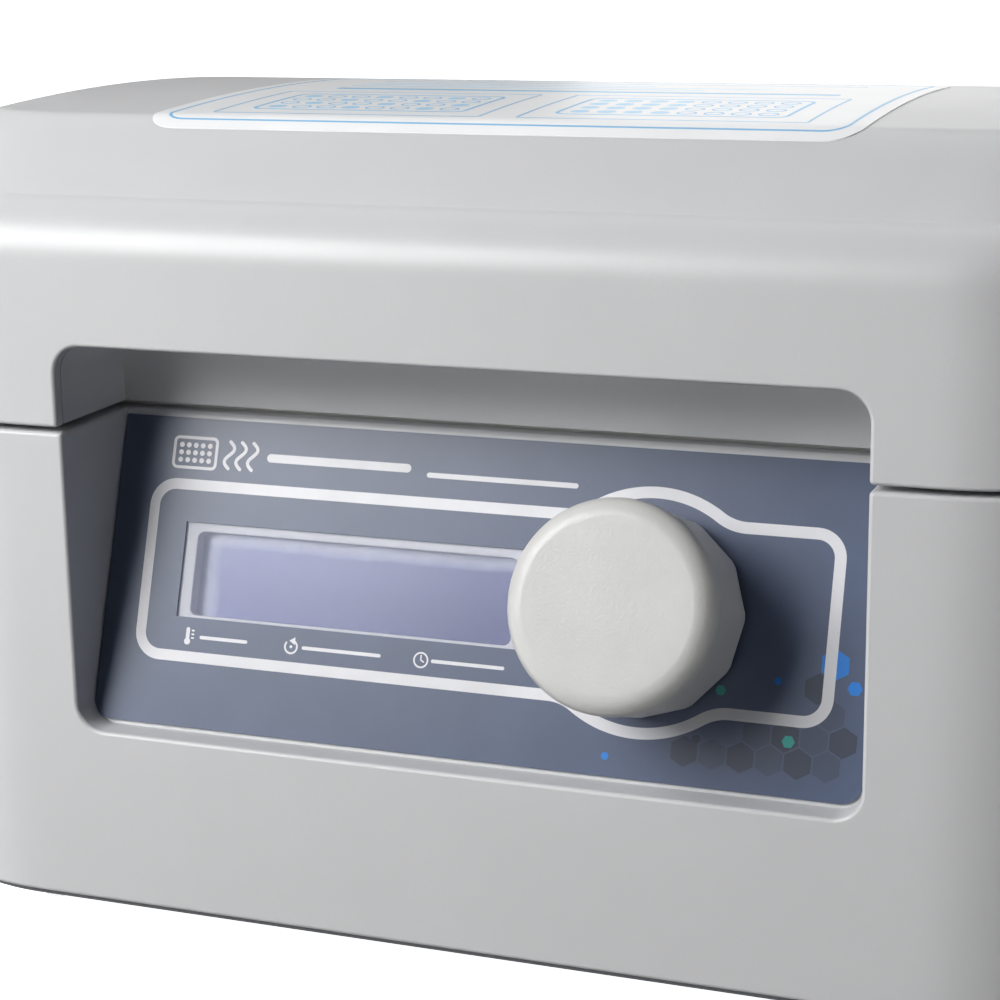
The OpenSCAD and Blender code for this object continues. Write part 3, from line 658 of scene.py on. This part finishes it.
OV_LOOP = arc(-66.5, 51.7, 3.5, 180, 90, 10) + arc(66.5, 51.7, 3.5, 90, 0, 10) + arc(69.6, 0.4, 0.4, 0, -90, 3) + arc(-69.6, 0.4, 0.4, 270, 180, 3)
WIN_LOOP = [(-55.6, 18.7), (8.9, 18.7), (8.9, 35.7), (-55.6, 35.7)]
KNOB_HOLE = arc(31.2, 27.6, 3.6, 0, 360, 40)[:-1]


def build_overlay():
    g = fill_loops([OV_LOOP, WIN_LOOP, KNOB_HOLE], panel, -0.5, 0.0, "", None, "", None)
    ob = to_object("panel_film", g, [M["film"]], "root", ("panel_overlay",), sharp=30)
    return ob


def stroke(points, width, closed=False, place=panel, u0=-0.01, u1=0.02, mat=0, caps=True):
    """A flat line of constant width along points, as a thin closed strip."""
    n = len(points)
    P = [Vector((p[0], p[1])) for p in points]
    L, R = [], []
    for i in range(n):
        a = P[(i - 1) % n] if closed or i > 0 else P[i]
        b = P[(i + 1) % n] if closed or i < n - 1 else P[i]
        d = (b - a).normalized()
        m = Vector((-d.y, d.x)) * width / 2
        L.append(P[i] + m)
        R.append(P[i] - m)
    g = Geo()
    lt, rt = g.pts([place(p.x, p.y, u1) for p in L]), g.pts([place(p.x, p.y, u1) for p in R])
    lb, rb = g.pts([place(p.x, p.y, u0) for p in L]), g.pts([place(p.x, p.y, u0) for p in R])
    g.strip(lt, rt, closed, mat)
    g.strip(rb, lb, closed, mat)
    g.strip(rt, rb, closed, mat)
    g.strip(lb, lt, closed, mat)
    if not closed:
        g.face((lt[0], lb[0], rb[0], rt[0]), mat)
        g.face((rt[-1], rb[-1], lb[-1], lt[-1]), mat)
        if caps:
            for q in (P[0], P[-1]):
                merge_geo(g, disc(q.x, q.y, width / 2 * 0.999, place, u0, u1 - 0.0004, mat))
    return g


def disc(cx, cy, r, place=panel, u0=-0.01, u1=0.02, mat=0, n=20):
    lp = arc(cx, cy, r, 0, 360, n)[:-1]
    g = Geo()
    a, b = g.pts([place(x, y, u1) for x, y in lp]), g.pts([place(x, y, u0) for x, y in lp])
    g.face(a, mat)
    g.face(b[::-1], mat)
    g.strip(b, a, mat=mat)
    return g


def poly(lp, place=panel, u0=-0.01, u1=0.02, mat=0):
    g = Geo()
    a, b = g.pts([place(x, y, u1) for x, y in lp]), g.pts([place(x, y, u0) for x, y in lp])
    g.face(a, mat)
    g.face(b[::-1], mat)
    g.strip(b, a, mat=mat)
    return g


def frame_path():
    """Centre line of the printed frame: a rounded box that swells round the knob."""
    cx, cy, R, rho, rc = 31.3, 27.4, 20.1, 8.5, 4.0
    L, T, Rr, B = -62.3, 12.05, 63.05, 42.75
    p = []
    def bulge(tline, sgn, forward):
        # sgn -1: above the centre, +1: below
        h = abs(tline - cy) + rho
        ds = math.sqrt((R + rho) ** 2 - h * h)
        a = math.degrees(math.atan2(h, ds))
        fc = (cx - ds, tline + sgn * rho)
        out = []
        # straight to fillet, then the big arc, then the other fillet
        for i in range(11):
            b = math.radians(90 + (a - 90) * i / 10)
            out.append((fc[0] + rho * math.cos(b), fc[1] - sgn * rho * math.sin(b)))
        for i in range(1, 40):
            b = math.radians(180 - a + (a - (180 - a)) * i / 40)
            out.append((cx + R * math.cos(b), cy + sgn * R * math.sin(b)))
        fc = (cx + ds, tline + sgn * rho)
        for i in range(11):
            b = math.radians(180 - a + (90 - (180 - a)) * i / 10)
            out.append((fc[0] + rho * math.cos(b), fc[1] - sgn * rho * math.sin(b)))
        return out if forward else out[::-1]
    p += arc(L + rc, T + rc, rc, 180, 270, 10)
    p += bulge(T, -1, True)
    p += arc(Rr - rc, T + rc, rc, 270, 360, 10)
    p += arc(Rr - rc, B - rc, rc, 0, 90, 10)
    p += bulge(B, 1, False)
    p += arc(L + rc, B - rc, rc, 90, 180, 10)
    # even spacing
    q = [p[0]]
    for a in p[1:]:
        b = q[-1]
        d = math.dist(a, b)
        if d < 0.05:
            continue
        k = max(1, int(d / 2.5))
        for i in range(1, k + 1):
            q.append((b[0] + (a[0] - b[0]) * i / k, b[1] + (a[1] - b[1]) * i / k))
    if math.dist(q[0], q[-1]) < 0.05:
        q.pop()
    return q


def hexagon(cx, cy, r, rot=0):
    return [(cx + r * math.cos(math.radians(60 * i + rot)), cy + r * math.sin(math.radians(60 * i + rot))) for i in range(6)]


def build_prints():
    white = stroke(frame_path(), 1.95, closed=True)
    # pictograms: thermometer, rotation, clock, each with a short rule
    def thermo(cx, cy, h):
        w = h * 0.16
        merge_geo(white, stroke([(cx, cy - h * 0.42), (cx, cy + h * 0.2)], w * 1.5))
        merge_geo(white, disc(cx, cy + h * 0.30, h * 0.2, u1=0.0205))
        for k in range(3):
            merge_geo(white, stroke([(cx + h * 0.24, cy - h * 0.36 + k * h * 0.22), (cx + h * 0.42, cy - h * 0.36 + k * h * 0.22)], w * 0.6, caps=False))
    def spin(cx, cy, r):
        merge_geo(white, stroke(arc(cx, cy, r, -60, 215, 26), r * 0.3))
        a = math.radians(-60)
        x, y = cx + r * math.cos(a), cy + r * math.sin(a)
        merge_geo(white, poly([(x - r * 0.85, y - r * 0.05), (x + r * 0.10, y - r * 0.62), (x + r * 0.12, y + r * 0.55)], u1=0.0208))
        merge_geo(white, disc(cx, cy, r * 0.24))
    def clock(cx, cy, r):
        merge_geo(white, stroke(arc(cx, cy, r, 0, 360, 32)[:-1], r * 0.24, closed=True))
        merge_geo(white, stroke([(cx, cy - r * 0.62), (cx, cy), (cx + r * 0.42, cy + r * 0.22)], r * 0.2))
    def rule(x0, x1, y, w=0.5):
        merge_geo(white, stroke([(x0, y), (x1, y)], w))
    thermo(-52.9, 39.1, 3.0)
    rule(-50.2, -41.4, 39.1, 0.62)
    spin(-32.6, 39.1, 1.15)
    rule(-30.2, -15.8, 39.1, 0.62)
    clock(-8.0, 39.1, 1.25)
    rule(-5.8, 7.0, 39.1, 0.62)
    # heading: a plate with wells, swing arrows and two bars
    def plate(x0, y0, w, h, nx, ny, r):
        merge_geo(white, stroke(rrect(x0, y0, x0 + w, y0 + h, 0.8, 5), 0.55, closed=True))
        for i in range(nx):
            for j in range(ny):
                merge_geo(white, disc(x0 + w * (i + 1) / (nx + 1), y0 + h * (j + 1) / (ny + 1), r, n=14))
    plate(-59.6, 3.6, 8.4, 5.4, 5, 3, 0.48)
    for k in range(3):
        x = -48.6 + 2.3 * k
        merge_geo(white, stroke([(x + 0.9 * math.sin(q / 12 * 2 * math.pi), 3.9 + q * 0.4) for q in range(13)], 0.62))
    merge_geo(white, stroke([(-40.4, 6.3), (-14.2, 6.3)], 1.5))
    merge_geo(white, stroke([(-10.0, 7.2), (16.8, 7.2)], 0.9))
    ob = to_object("panel_print_white", white, [M["ink_white"]], "root", sharp=30, merge=0.0001)
    # corner decoration: honeycomb cells
    deco = Geo()
    r = 2.75
    dx, dy = r * math.sqrt(3), r * 1.5
    cells = {(0, 0): 0, (1, 0): 1, (2, 0): 0, (0, 1): 1, (1, 1): 0, (3, 0): 1, (-1, 0): 1, (2, 1): 3, (-2, 0): 0, (1, -1): 0,
             (2, -1): 1, (3, -1): 0, (3, -2): 1, (0, -1): 1, (3, 1): 0, (-3, 1): 1, (-4, 0): 0, (2, -3): 0, (4, -3): 1, (3, -4): 3}
    kinds = {0: 0, 1: 1, 3: 3}
    for (i, j), kind in cells.items():
        cx = 49.5 + dx * (i + 0.5 * (j % 2))
        cy = 49.6 + dy * j
        if cx + r > 69.4 or cy + r > 54.6 or cx < 33:
            continue
        merge_geo(deco, poly(hexagon(cx, cy, r * 0.94, 30), u1=0.012, mat=kinds[kind]))
    for cx, cy, rr, kind in ((45.2, 39.0, 0.9, 2), (54.6, 36.6, 0.7, 3), (67.3, 36.6, 1.25, 3), (57.2, 46.2, 1.1, 2), (26.5, 51.8, 0.7, 3), (41.8, 47.4, 0.8, 0)):
        merge_geo(deco, poly(hexagon(cx, cy, rr, 0), u1=0.014, mat=kind))
    to_object("panel_print_deco", deco, [M["ink_dark"], M["ink_mid"], M["ink_teal"], M["ink_blue"]], "root", sharp=30, merge=0.0001)
    return ob


build_overlay()
build_prints()


def lcd_material():
    """Front glass of the display: blue field that greys towards its left and upper margin, with painted reflection
    making it lighter at the left and top and painted shade deepening it towards the right and bottom, faint marks in
    its film.
    """
    n = Nodes("display_field")
    sep = n.new("ShaderNodeSeparateXYZ")
    n.link(n.coord, sep.inputs[0])
    x = n.math("MULTIPLY", sep.outputs["X"], 1000.0)
    z = n.math("MULTIPLY", sep.outputs["Z"], 1000.0)
    wob = n.noise(9.0, 2.0)
    left = n.remap(n.math("ADD", x, n.math("MULTIPLY", wob, 2.2)), -53.0, -48.0, 0.0, 1.0)
    top = n.remap(n.math("ADD", z, n.math("MULTIPLY", wob, 1.2)), 73.6, 71.0, 0.0, 1.0)
    field = n.math("MULTIPLY", left, top)
    # painted reflection and shade: the blue runs from a light lavender at the left and top, standing for the softbox's
    # reflection, to a deep blue at the right and bottom, where that reflection fades into the knob's shadow
    along = n.remap(x, -52.0, 8.0, 0.0, 1.0)
    down = n.remap(z, 74.0, 60.0, 0.0, 1.0)
    painted_reflection_fade = n.math("ADD", n.math("MULTIPLY", along, 0.75), n.math("MULTIPLY", down, 0.35), clamp=True)
    blue = n.mix(painted_reflection_fade, srgb(120, 127, 180), srgb(34, 48, 112))
    grey = srgb(226, 231, 243)
    col = n.mix(field, grey, blue)
    # creases of the protective film: warped cell borders, broken up
    warp = n.noise(7.0, 4.0, 0.6, distortion=1.5)
    line = n.math("ABSOLUTE", n.math("SUBTRACT", warp, 0.5))
    crease = n.remap(line, 0.0, 0.010, 1.0, 0.0)
    brk = n.remap(n.noise(5.0, 3.0), 0.52, 0.62, 0.0, 1.0)
    marks = n.math("MULTIPLY", n.math("MULTIPLY", crease, brk), 0.42)
    col = n.mix(marks, col, srgb(70, 72, 112))
    n.set(Base_Color=col, Roughness=0.22, Specular_IOR_Level=0.5)
    n.set(Normal=n.bump(warp, 0.02, 0.4))
    return n.mat


def window_material():
    n = Nodes("display_window_clear")
    n.set(Base_Color=(0.62, 0.66, 0.86, 1), Roughness=n.remap(n.noise(0.8, 3.0), 0.3, 0.7, 0.30, 0.36), IOR=1.45)
    n.set(Alpha=0.13)
    return n.mat


M["lcd"] = lcd_material()
M["window"] = window_material()


def build_display():
    g = fill_loops([rrect(-56.4, 17.1, 10.4, 37.9, 0.3, 2)], panel, -4.6, -3.26, "", None, "", None)
    to_object("display_cell", g, [M["lcd"]], "root", ("display_glass",), sharp=30)


build_display()


# ------------------------------------------------------------------ knob
KO = panel(31.2, 27.6, 0.0)
KN = Vector((0, -CT, ST))
KU = Vector((1, 0, 0))
KV = KN.cross(KU)      # up the slope or down it, completes the frame


def knob_pt(a, r, u):
    c, s = math.cos(a), math.sin(a)
    p = Vector(KO) + KU * (r * c) + KV * (r * s) + KN * u
    return (p.x, p.y, p.z)


def build_knob():
    # body: twelve soft flats that run out below the cap's lip
    n = 240
    ph = math.radians(2.5)
    def radius(a, u):
        q = (math.degrees(a) - 2.5) % 30.0 - 15.0
        flat = 17.5 * math.cos(math.radians(15)) / math.cos(math.radians(q))
        # round the corner of the polygon
        soft = 17.36 - 0.02 * abs(q)
        rr = min(flat, 17.34)
        k = min(1.0, max(0.0, (18.4 - u) / 1.6))
        top = 16.75
        base = rr
        return top + (base - top) * (math.sin(k * math.pi / 2) ** 0.7)
    g = Geo()
    prof = [(18.4, 16.6), (18.2, None), (17.9, None), (17.5, None), (17.1, None), (16.8, None), (14.0, None), (10.0, None), (6.0, None), (3.0, None), (1.6, None)]
    rows = []
    for u, r in prof:
        rows.append(g.pts([knob_pt(2 * math.pi * i / n, r if r else radius(2 * math.pi * i / n, u), u) for i in range(n)]))
    for d, u in ((0.12, 1.3), (0.35, 1.1), (0.6, 1.0)):
        rows.append(g.pts([knob_pt(2 * math.pi * i / n, radius(2 * math.pi * i / n, 5.0) - d, u) for i in range(n)]))
    rows.append(g.pts([knob_pt(2 * math.pi * i / n, 14.4, 1.0) for i in range(n)]))
    rows.append(g.pts([knob_pt(2 * math.pi * i / n, 14.4, 15.8) for i in range(n)]))
    rows.append(g.pts([knob_pt(2 * math.pi * i / n, 6.0, 15.8) for i in range(n)]))
    rows.append(g.pts([knob_pt(2 * math.pi * i / n, 6.0, 4.7) for i in range(n)]))
    def bore(i, u):
        a = 2 * math.pi * i / n
        c = math.cos(a)
        r = min(3.02, 1.52 / c) if c > 0 else 3.02
        return knob_pt(a, r, u)
    rows.append(g.pts([bore(i, 4.7) for i in range(n)]))
    rows.append(g.pts([bore(i, 15.8) for i in range(n)]))
    for j in range(len(rows) - 1):
        g.strip(rows[j], rows[j + 1])
    g.face(rows[-1])
    g.face(rows[0][::-1])
    to_object("knob_grip", g, [M["knob"]], "knob", ("knob_body",), sharp=38)
    # cap
    g = Geo()
    n = 160
    prof = [(18.42, 0.0), (18.42, 16.2), (18.46, 16.6), (18.6, 17.0)]
    prof += [(18.62, 17.3), (18.72, 17.46), (18.9, 17.5), (19.1, 17.5)]
    prof += [(19.1 + 3.4 * math.sin(math.radians(a)), 14.1 + 3.4 * math.cos(math.radians(a))) for a in np.linspace(0, 90, 19)[1:]]
    prof += [(22.5, 12.0), (22.5, 9.0), (22.5, 6.0), (22.5, 3.0), (22.5, 0.0)]
    rows = []
    for u, r in prof:
        if r == 0.0:
            rows.append(g.pts([knob_pt(0, 0, u)]) * n)
        else:
            rows.append(g.pts([knob_pt(2 * math.pi * i / n, r, u) for i in range(n)]))
    for j in range(len(rows) - 1):
        for i in range(n):
            k = (i + 1) % n
            q = [rows[j][i], rows[j][k], rows[j + 1][k], rows[j + 1][i]]
            q2 = []
            for x in q:
                if x not in q2:
                    q2.append(x)
            if len(q2) > 2:
                g.face(q2)
    to_object("knob_face", g, [M["knob"]], "knob", ("knob_cap",), sharp=50)


build_knob()


# ------------------------------------------------------------------ printed sheet on the lid
def lid_place(x, y, u):
    return (x, y, lid_z(min(y, 31.8), y) + u)


def label_material(name, colour, rough=0.32):
    n = Nodes(name)
    g = n.noise(0.8, 3.0)
    blot = n.noise(18.0, 2.0)
    n.set(Base_Color=n.ramp(blot, [(0.3, scaled(colour, 0.97)), (0.7, scaled(colour, 1.02))]), Roughness=rough)
    n.set(Normal=n.bump(g, 0.004))
    return n.mat


M["sheet"] = label_material("sheet_white", (0.86, 0.868, 0.878))
M["sheet_line"] = label_material("sheet_blue_line", srgb(112, 178, 222)[:3])
M["sheet_pale"] = label_material("sheet_pale_blue", srgb(168, 212, 240)[:3])
M["sheet_deep"] = label_material("sheet_deep_blue", srgb(112, 184, 228)[:3])


def build_label():
    XC, X, Y0, Y1, rc = -1.25, 64.25, 25.0, 110.0, 6.0
    ys = [Y0]
    ys += [Y0 + rc * (1 - math.cos(math.radians(a))) for a in (10, 20, 30, 40, 50, 60, 70, 80, 90)]
    ys += list(np.arange(32.5, 104.0, 2.0)) + [Y1 - rc]
    ys += [Y1 - rc * (1 - math.sin(math.radians(a))) for a in (10, 20, 30, 40, 50, 60, 70, 80, 90)]
    ys = sorted(set(round(y, 4) for y in ys))
    g = Geo()
    def half(y):
        d = min(y - Y0, Y1 - y)
        return X if d >= rc else X - rc + math.sqrt(max(0.0, rc * rc - (rc - d) ** 2))
    T, B = 0.20, 0.02
    lt = g.pts([lid_place(XC - half(y), y, T) for y in ys])
    rt = g.pts([lid_place(XC + half(y), y, T) for y in ys])
    lb = g.pts([lid_place(XC - half(y), y, B) for y in ys])
    rb = g.pts([lid_place(XC + half(y), y, B) for y in ys])
    g.strip(lt, rt, closed=False)
    g.strip(rb, lb, closed=False)
    g.strip(lb, lt, closed=False)
    g.strip(rt, rb, closed=False)
    g.face((lt[0], rt[0], rb[0], lb[0]))
    g.face((rt[-1], lt[-1], lb[-1], rb[-1]))
    to_object("lid_sheet", g, [M["sheet"]], "lid", ("lid_label",), sharp=40)
    # print on the sheet
    p = Geo()
    def fine(points, closed, step=1.5):
        out = []
        m = len(points)
        for i in range(m if closed else m - 1):
            a, b = points[i], points[(i + 1) % m]
            k = max(1, int(math.dist(a, b) / step))
            out += [(a[0] + (b[0] - a[0]) * j / k, a[1] + (b[1] - a[1]) * j / k) for j in range(k)]
        if not closed:
            out.append(points[-1])
        return out
    def line(points, w, mat, closed=False, u=0.215):
        pts = fine(points, closed)
        merge_geo(p, stroke(pts, w, closed, lid_place, 0.19, u, mat, caps=False))
    line(rrect(-62.6, 28.0, 60.1, 107.0, 3.8, 6), 0.6, 0, True)
    for x0 in (-55.2, 2.2):
        line(rrect(x0, 33.0, x0 + 50.5, 66.0, 0.6, 2), 0.45, 0, True)
        # a plate seen from above with a few filled wells, and one with its cover
        line(rrect(x0 + 5.0, 38.0, x0 + 45.5, 61.0, 2.2, 4), 0.6, 2, True, 0.216)
        for i in range(8):
            for j in range(4):
                cx, cy = x0 + 8.6 + i * 4.75, 41.6 + j * 5.2
                filled = (i + 2 * j) % 3 == 0 if x0 < 0 else i < 4
                if filled:
                    merge_geo(p, disc(cx, cy, 1.7, lid_place, 0.19, 0.216, 1, 20))
                else:
                    merge_geo(p, stroke(arc(cx, cy, 1.6, 0, 360, 20)[:-1], 0.4, True, lid_place, 0.19, 0.216, 2, False))
    line([(-49.0, 73.5), (49.0, 73.5)], 2.2, 2, False, 0.217)
    for k, (x0, x1) in enumerate(((-49, 22), (-49, 34), (-49, 10))):
        line([(x0, 80.0 + 4.6 * k), (x1, 80.0 + 4.6 * k)], 0.9, 3, False, 0.217)
    line([(-49.0, 96.5), (49.0, 96.5)], 0.5, 0, False, 0.217)
    to_object("lid_sheet_print", p, [M["sheet_line"], M["sheet_pale"], M["sheet_deep"], M["sheet_pale"]], "lid", sharp=40, merge=0.0001)


build_label()

# ------------------------------------------------------------------ the other nodes: edges rounded where they show, material by kind
def rounded_copy(node, mat, width=0.25, segments=2, angle=35, extra=None):
    src = nodes[node]
    me = src.data.copy()
    me.name = node + "_piece"
    bm = bmesh.new()
    bm.from_mesh(me)
    bmesh.ops.remove_doubles(bm, verts=bm.verts, dist=1e-6)
    bmesh.ops.dissolve_limit(bm, angle_limit=math.radians(1.0), verts=bm.verts, edges=bm.edges, delimit={"MATERIAL"})
    chosen = [e for e in bm.edges if len(e.link_faces) == 2 and math.degrees(e.calc_face_angle_signed(0.0)) > angle and (extra is None or extra(e))]
    if chosen:
        bmesh.ops.bevel(bm, geom=chosen, offset=width * MM, offset_type="OFFSET", segments=segments, profile=0.5, affect="EDGES", clamp_overlap=True)
    bmesh.ops.remove_doubles(bm, verts=bm.verts, dist=1e-6)
    bm.to_mesh(me)
    bm.free()
    me.materials.clear()
    me.materials.append(mat)
    for p in me.polygons:
        p.material_index = 0
    ob = bpy_object(node + "_piece", me)
    body = src["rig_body"]
    return finish_piece(ob, body, (node,), sharp=35)


node_mat = {
    "bottom_plate": "bottom", "feet": "foot", "bottom_screws": "steel", "display_window": "window", "display_module": "board",
    "display_screws": "steel", "encoder_body": "encoder", "encoder_nut": "zinc", "push_plunger": "plunger", "encoder_shaft": "steel",
    "control_board": "board", "power_board": "board_blue", "board_spacers": "brass", "board_screws": "steel", "power_inlet": "black",
    "inlet_pins": "pins", "fuse_drawer": "drawer", "switch_frame": "black", "switch_rocker": "rocker", "chamber_liner": "tub",
    "mechanism_plate": "alu_plate", "plate_spacers": "alu", "spacer_screws": "steel", "motor_body": "motor", "motor_screws": "steel",
    "motor_shaft": "steel", "eccentric_hub": "brass", "hub_screw": "steel", "counterweight": "weight", "idler_housings": "alu",
    "idler_bearings": "bearing", "idler_crank_left": "brass", "idler_crank_right": "brass", "idler_crank_rear": "brass",
    "shaker_platform": "alu", "platform_bearings": "bearing", "heating_pad": "pad", "temperature_probe": "steel", "plate_clips": "steel",
    "lid_liner": "liner", "lid_insulation": "foam", "lid_heater_plate": "alu_plate", "lid_seal": "seal", "lid_screws": "steel",
    "lid_magnet": "magnet", "lid_sensor": "sensor", "base_hinge_brackets": "zinc", "base_hinge_screws": "steel",
    "lid_hinge_brackets": "zinc", "lid_hinge_screws": "steel", "hinge_pins": "steel",
    "nest_frame": "alu", "grip_pocket": "shell",
}
ROUND = {"bottom_plate": 0.3, "feet": 0.4, "lid_liner": 0.3, "shaker_platform": 0.4, "base_hinge_brackets": 0.3, "lid_hinge_brackets": 0.3,
         "power_inlet": 0.35, "fuse_drawer": 0.25, "switch_frame": 0.35, "switch_rocker": 0.25, "chamber_liner": 0.3, "nest_frame": 0.4}
for node, key in node_mat.items():
    if node in ROUND:
        rounded_copy(node, M[key], ROUND[node])
    else:
        me = nodes[node].data
        if not me.materials:
            me.materials.append(M[key])
        for i in range(len(me.materials)):
            me.materials[i] = M[key]

# ------------------------------------------------------------------ stage, light, camera
def stage():
    me = bpy.data.meshes.new("floor")
    s = 8.0
    me.from_pydata([(-s, -s, 0), (s, -s, 0), (s, s, 0), (-s, s, 0)], [], [(0, 1, 2, 3)])
    fl = bpy_object("floor", me)
    n = Nodes("floor_pale")
    dist = n.new("ShaderNodeVectorMath", operation="LENGTH")
    n.link(n.coord, dist.inputs[0])
    glow = n.remap(dist.outputs["Value"], 0.25, 1.6, 1.05, 1.40)
    n.set(Base_Color=(0.90, 0.90, 0.90, 1), Roughness=0.9, Specular_IOR_Level=0.1)
    n.set(Emission_Color=(1, 1, 1, 1), Emission_Strength=glow)
    me.materials.append(n.mat)
    fl.visible_diffuse = False
    # plain bright backdrop round the floor, seen but casting no light
    n = Nodes("backdrop_pale")
    n.set(Base_Color=(0, 0, 0, 1), Roughness=1.0, Specular_IOR_Level=0.0)
    n.set(Emission_Color=(1, 1, 1, 1), Emission_Strength=1.0)
    k = 48
    ring = [(7.6 * math.cos(2 * math.pi * i / k), 7.6 * math.sin(2 * math.pi * i / k)) for i in range(k)]
    bd = bpy.data.meshes.new("backdrop")
    bd.from_pydata([(x, y, z) for z in (-0.001, 7.0) for x, y in ring], [],
                   [(i, (i + 1) % k, k + (i + 1) % k, k + i) for i in range(k)] + [tuple(range(k, 2 * k))])
    bd.materials.append(n.mat)
    bk = bpy_object("backdrop", bd)
    for flag in ("visible_diffuse", "visible_glossy", "visible_transmission", "visible_shadow"):
        setattr(bk, flag, False)
    world = bpy.data.worlds.new("studio")
    world.use_nodes = True
    world.node_tree.nodes["Background"].inputs["Color"].default_value = (1, 1, 1, 1)
    world.node_tree.nodes["Background"].inputs["Strength"].default_value = 0.036
    bpy.context.scene.world = world


def area(name, loc, target, size, power, size_y=None, colour=(1, 1, 1)):
    li = bpy.data.lights.new(name, "AREA")
    li.shape = "RECTANGLE" if size_y else "SQUARE"
    li.size = size
    if size_y:
        li.size_y = size_y
    li.energy = power
    li.color = colour
    ob = bpy.data.objects.new(name, li)
    ob.location = loc
    ob.rotation_euler = (Vector(target) - Vector(loc)).to_track_quat("-Z", "Y").to_euler()
    bpy.context.scene.collection.objects.link(ob)
    return ob


def softbox(name, azimuth, elevation, distance, width, height, power, target=(0, -0.09, 0.09)):
    """A light seen from the target at that azimuth (0 is in front, negative to the left) and elevation."""
    a, e, t = math.radians(azimuth), math.radians(elevation), Vector(target)
    loc = t + Vector((math.sin(a) * math.cos(e), -math.cos(a) * math.cos(e), math.sin(e))) * distance
    return area(name, loc, t, width, power, height)


stage()
softbox("key", -40, 32, 0.85, 0.50, 0.45, 7.9)
softbox("key_side", -60, 32, 0.85, 0.50, 0.45, 0.95)
softbox("rear_right", 150, 40, 1.4, 0.9, 0.8, 8.2)
softbox("rear_low", 180, 12, 1.4, 0.9, 0.5, 2.0)
softbox("rear_left", -150, 40, 1.4, 0.9, 0.8, 1.8)
softbox("side_right", 108, 12, 1.3, 0.8, 0.5, 3.0)
softbox("side_left", -112, 12, 1.3, 0.8, 0.5, 1.2)
softbox("key_low", -40, 12, 0.85, 0.50, 0.45, 0.95)


def camera():
    az, el, roll, f = math.radians(20.71), math.radians(13.90), math.radians(0.79), 2389.0
    fwd = Vector((-math.sin(az) * math.cos(el), math.cos(az) * math.cos(el), -math.sin(el)))
    right = Vector((math.cos(az), math.sin(az), 0))
    down = fwd.cross(right)
    r2 = math.cos(roll) * right + math.sin(roll) * down
    d2 = -math.sin(roll) * right + math.cos(roll) * down
    cam = bpy.data.cameras.new("camera")
    cam.sensor_width = 36.0
    cam.sensor_fit = "HORIZONTAL"
    cam.lens = 36.0 * f / 1000.0
    cam.clip_start = 0.01
    cam.clip_end = 50
    ob = bpy.data.objects.new("camera", cam)
    m = Matrix((r2, -d2, -fwd)).transposed().to_4x4()
    m.translation = Vector((0.1436, (-351.2 - YM) * MM, 0.1812))
    ob.matrix_world = m
    bpy.context.scene.collection.objects.link(ob)
    bpy.context.scene.camera = ob


camera()
bpy.context.scene.view_settings.view_transform = "Standard"
bpy.context.scene.view_settings.look = "None"
bpy.context.scene.view_settings.exposure = 0.0
bpy.context.scene.view_settings.gamma = 1.0
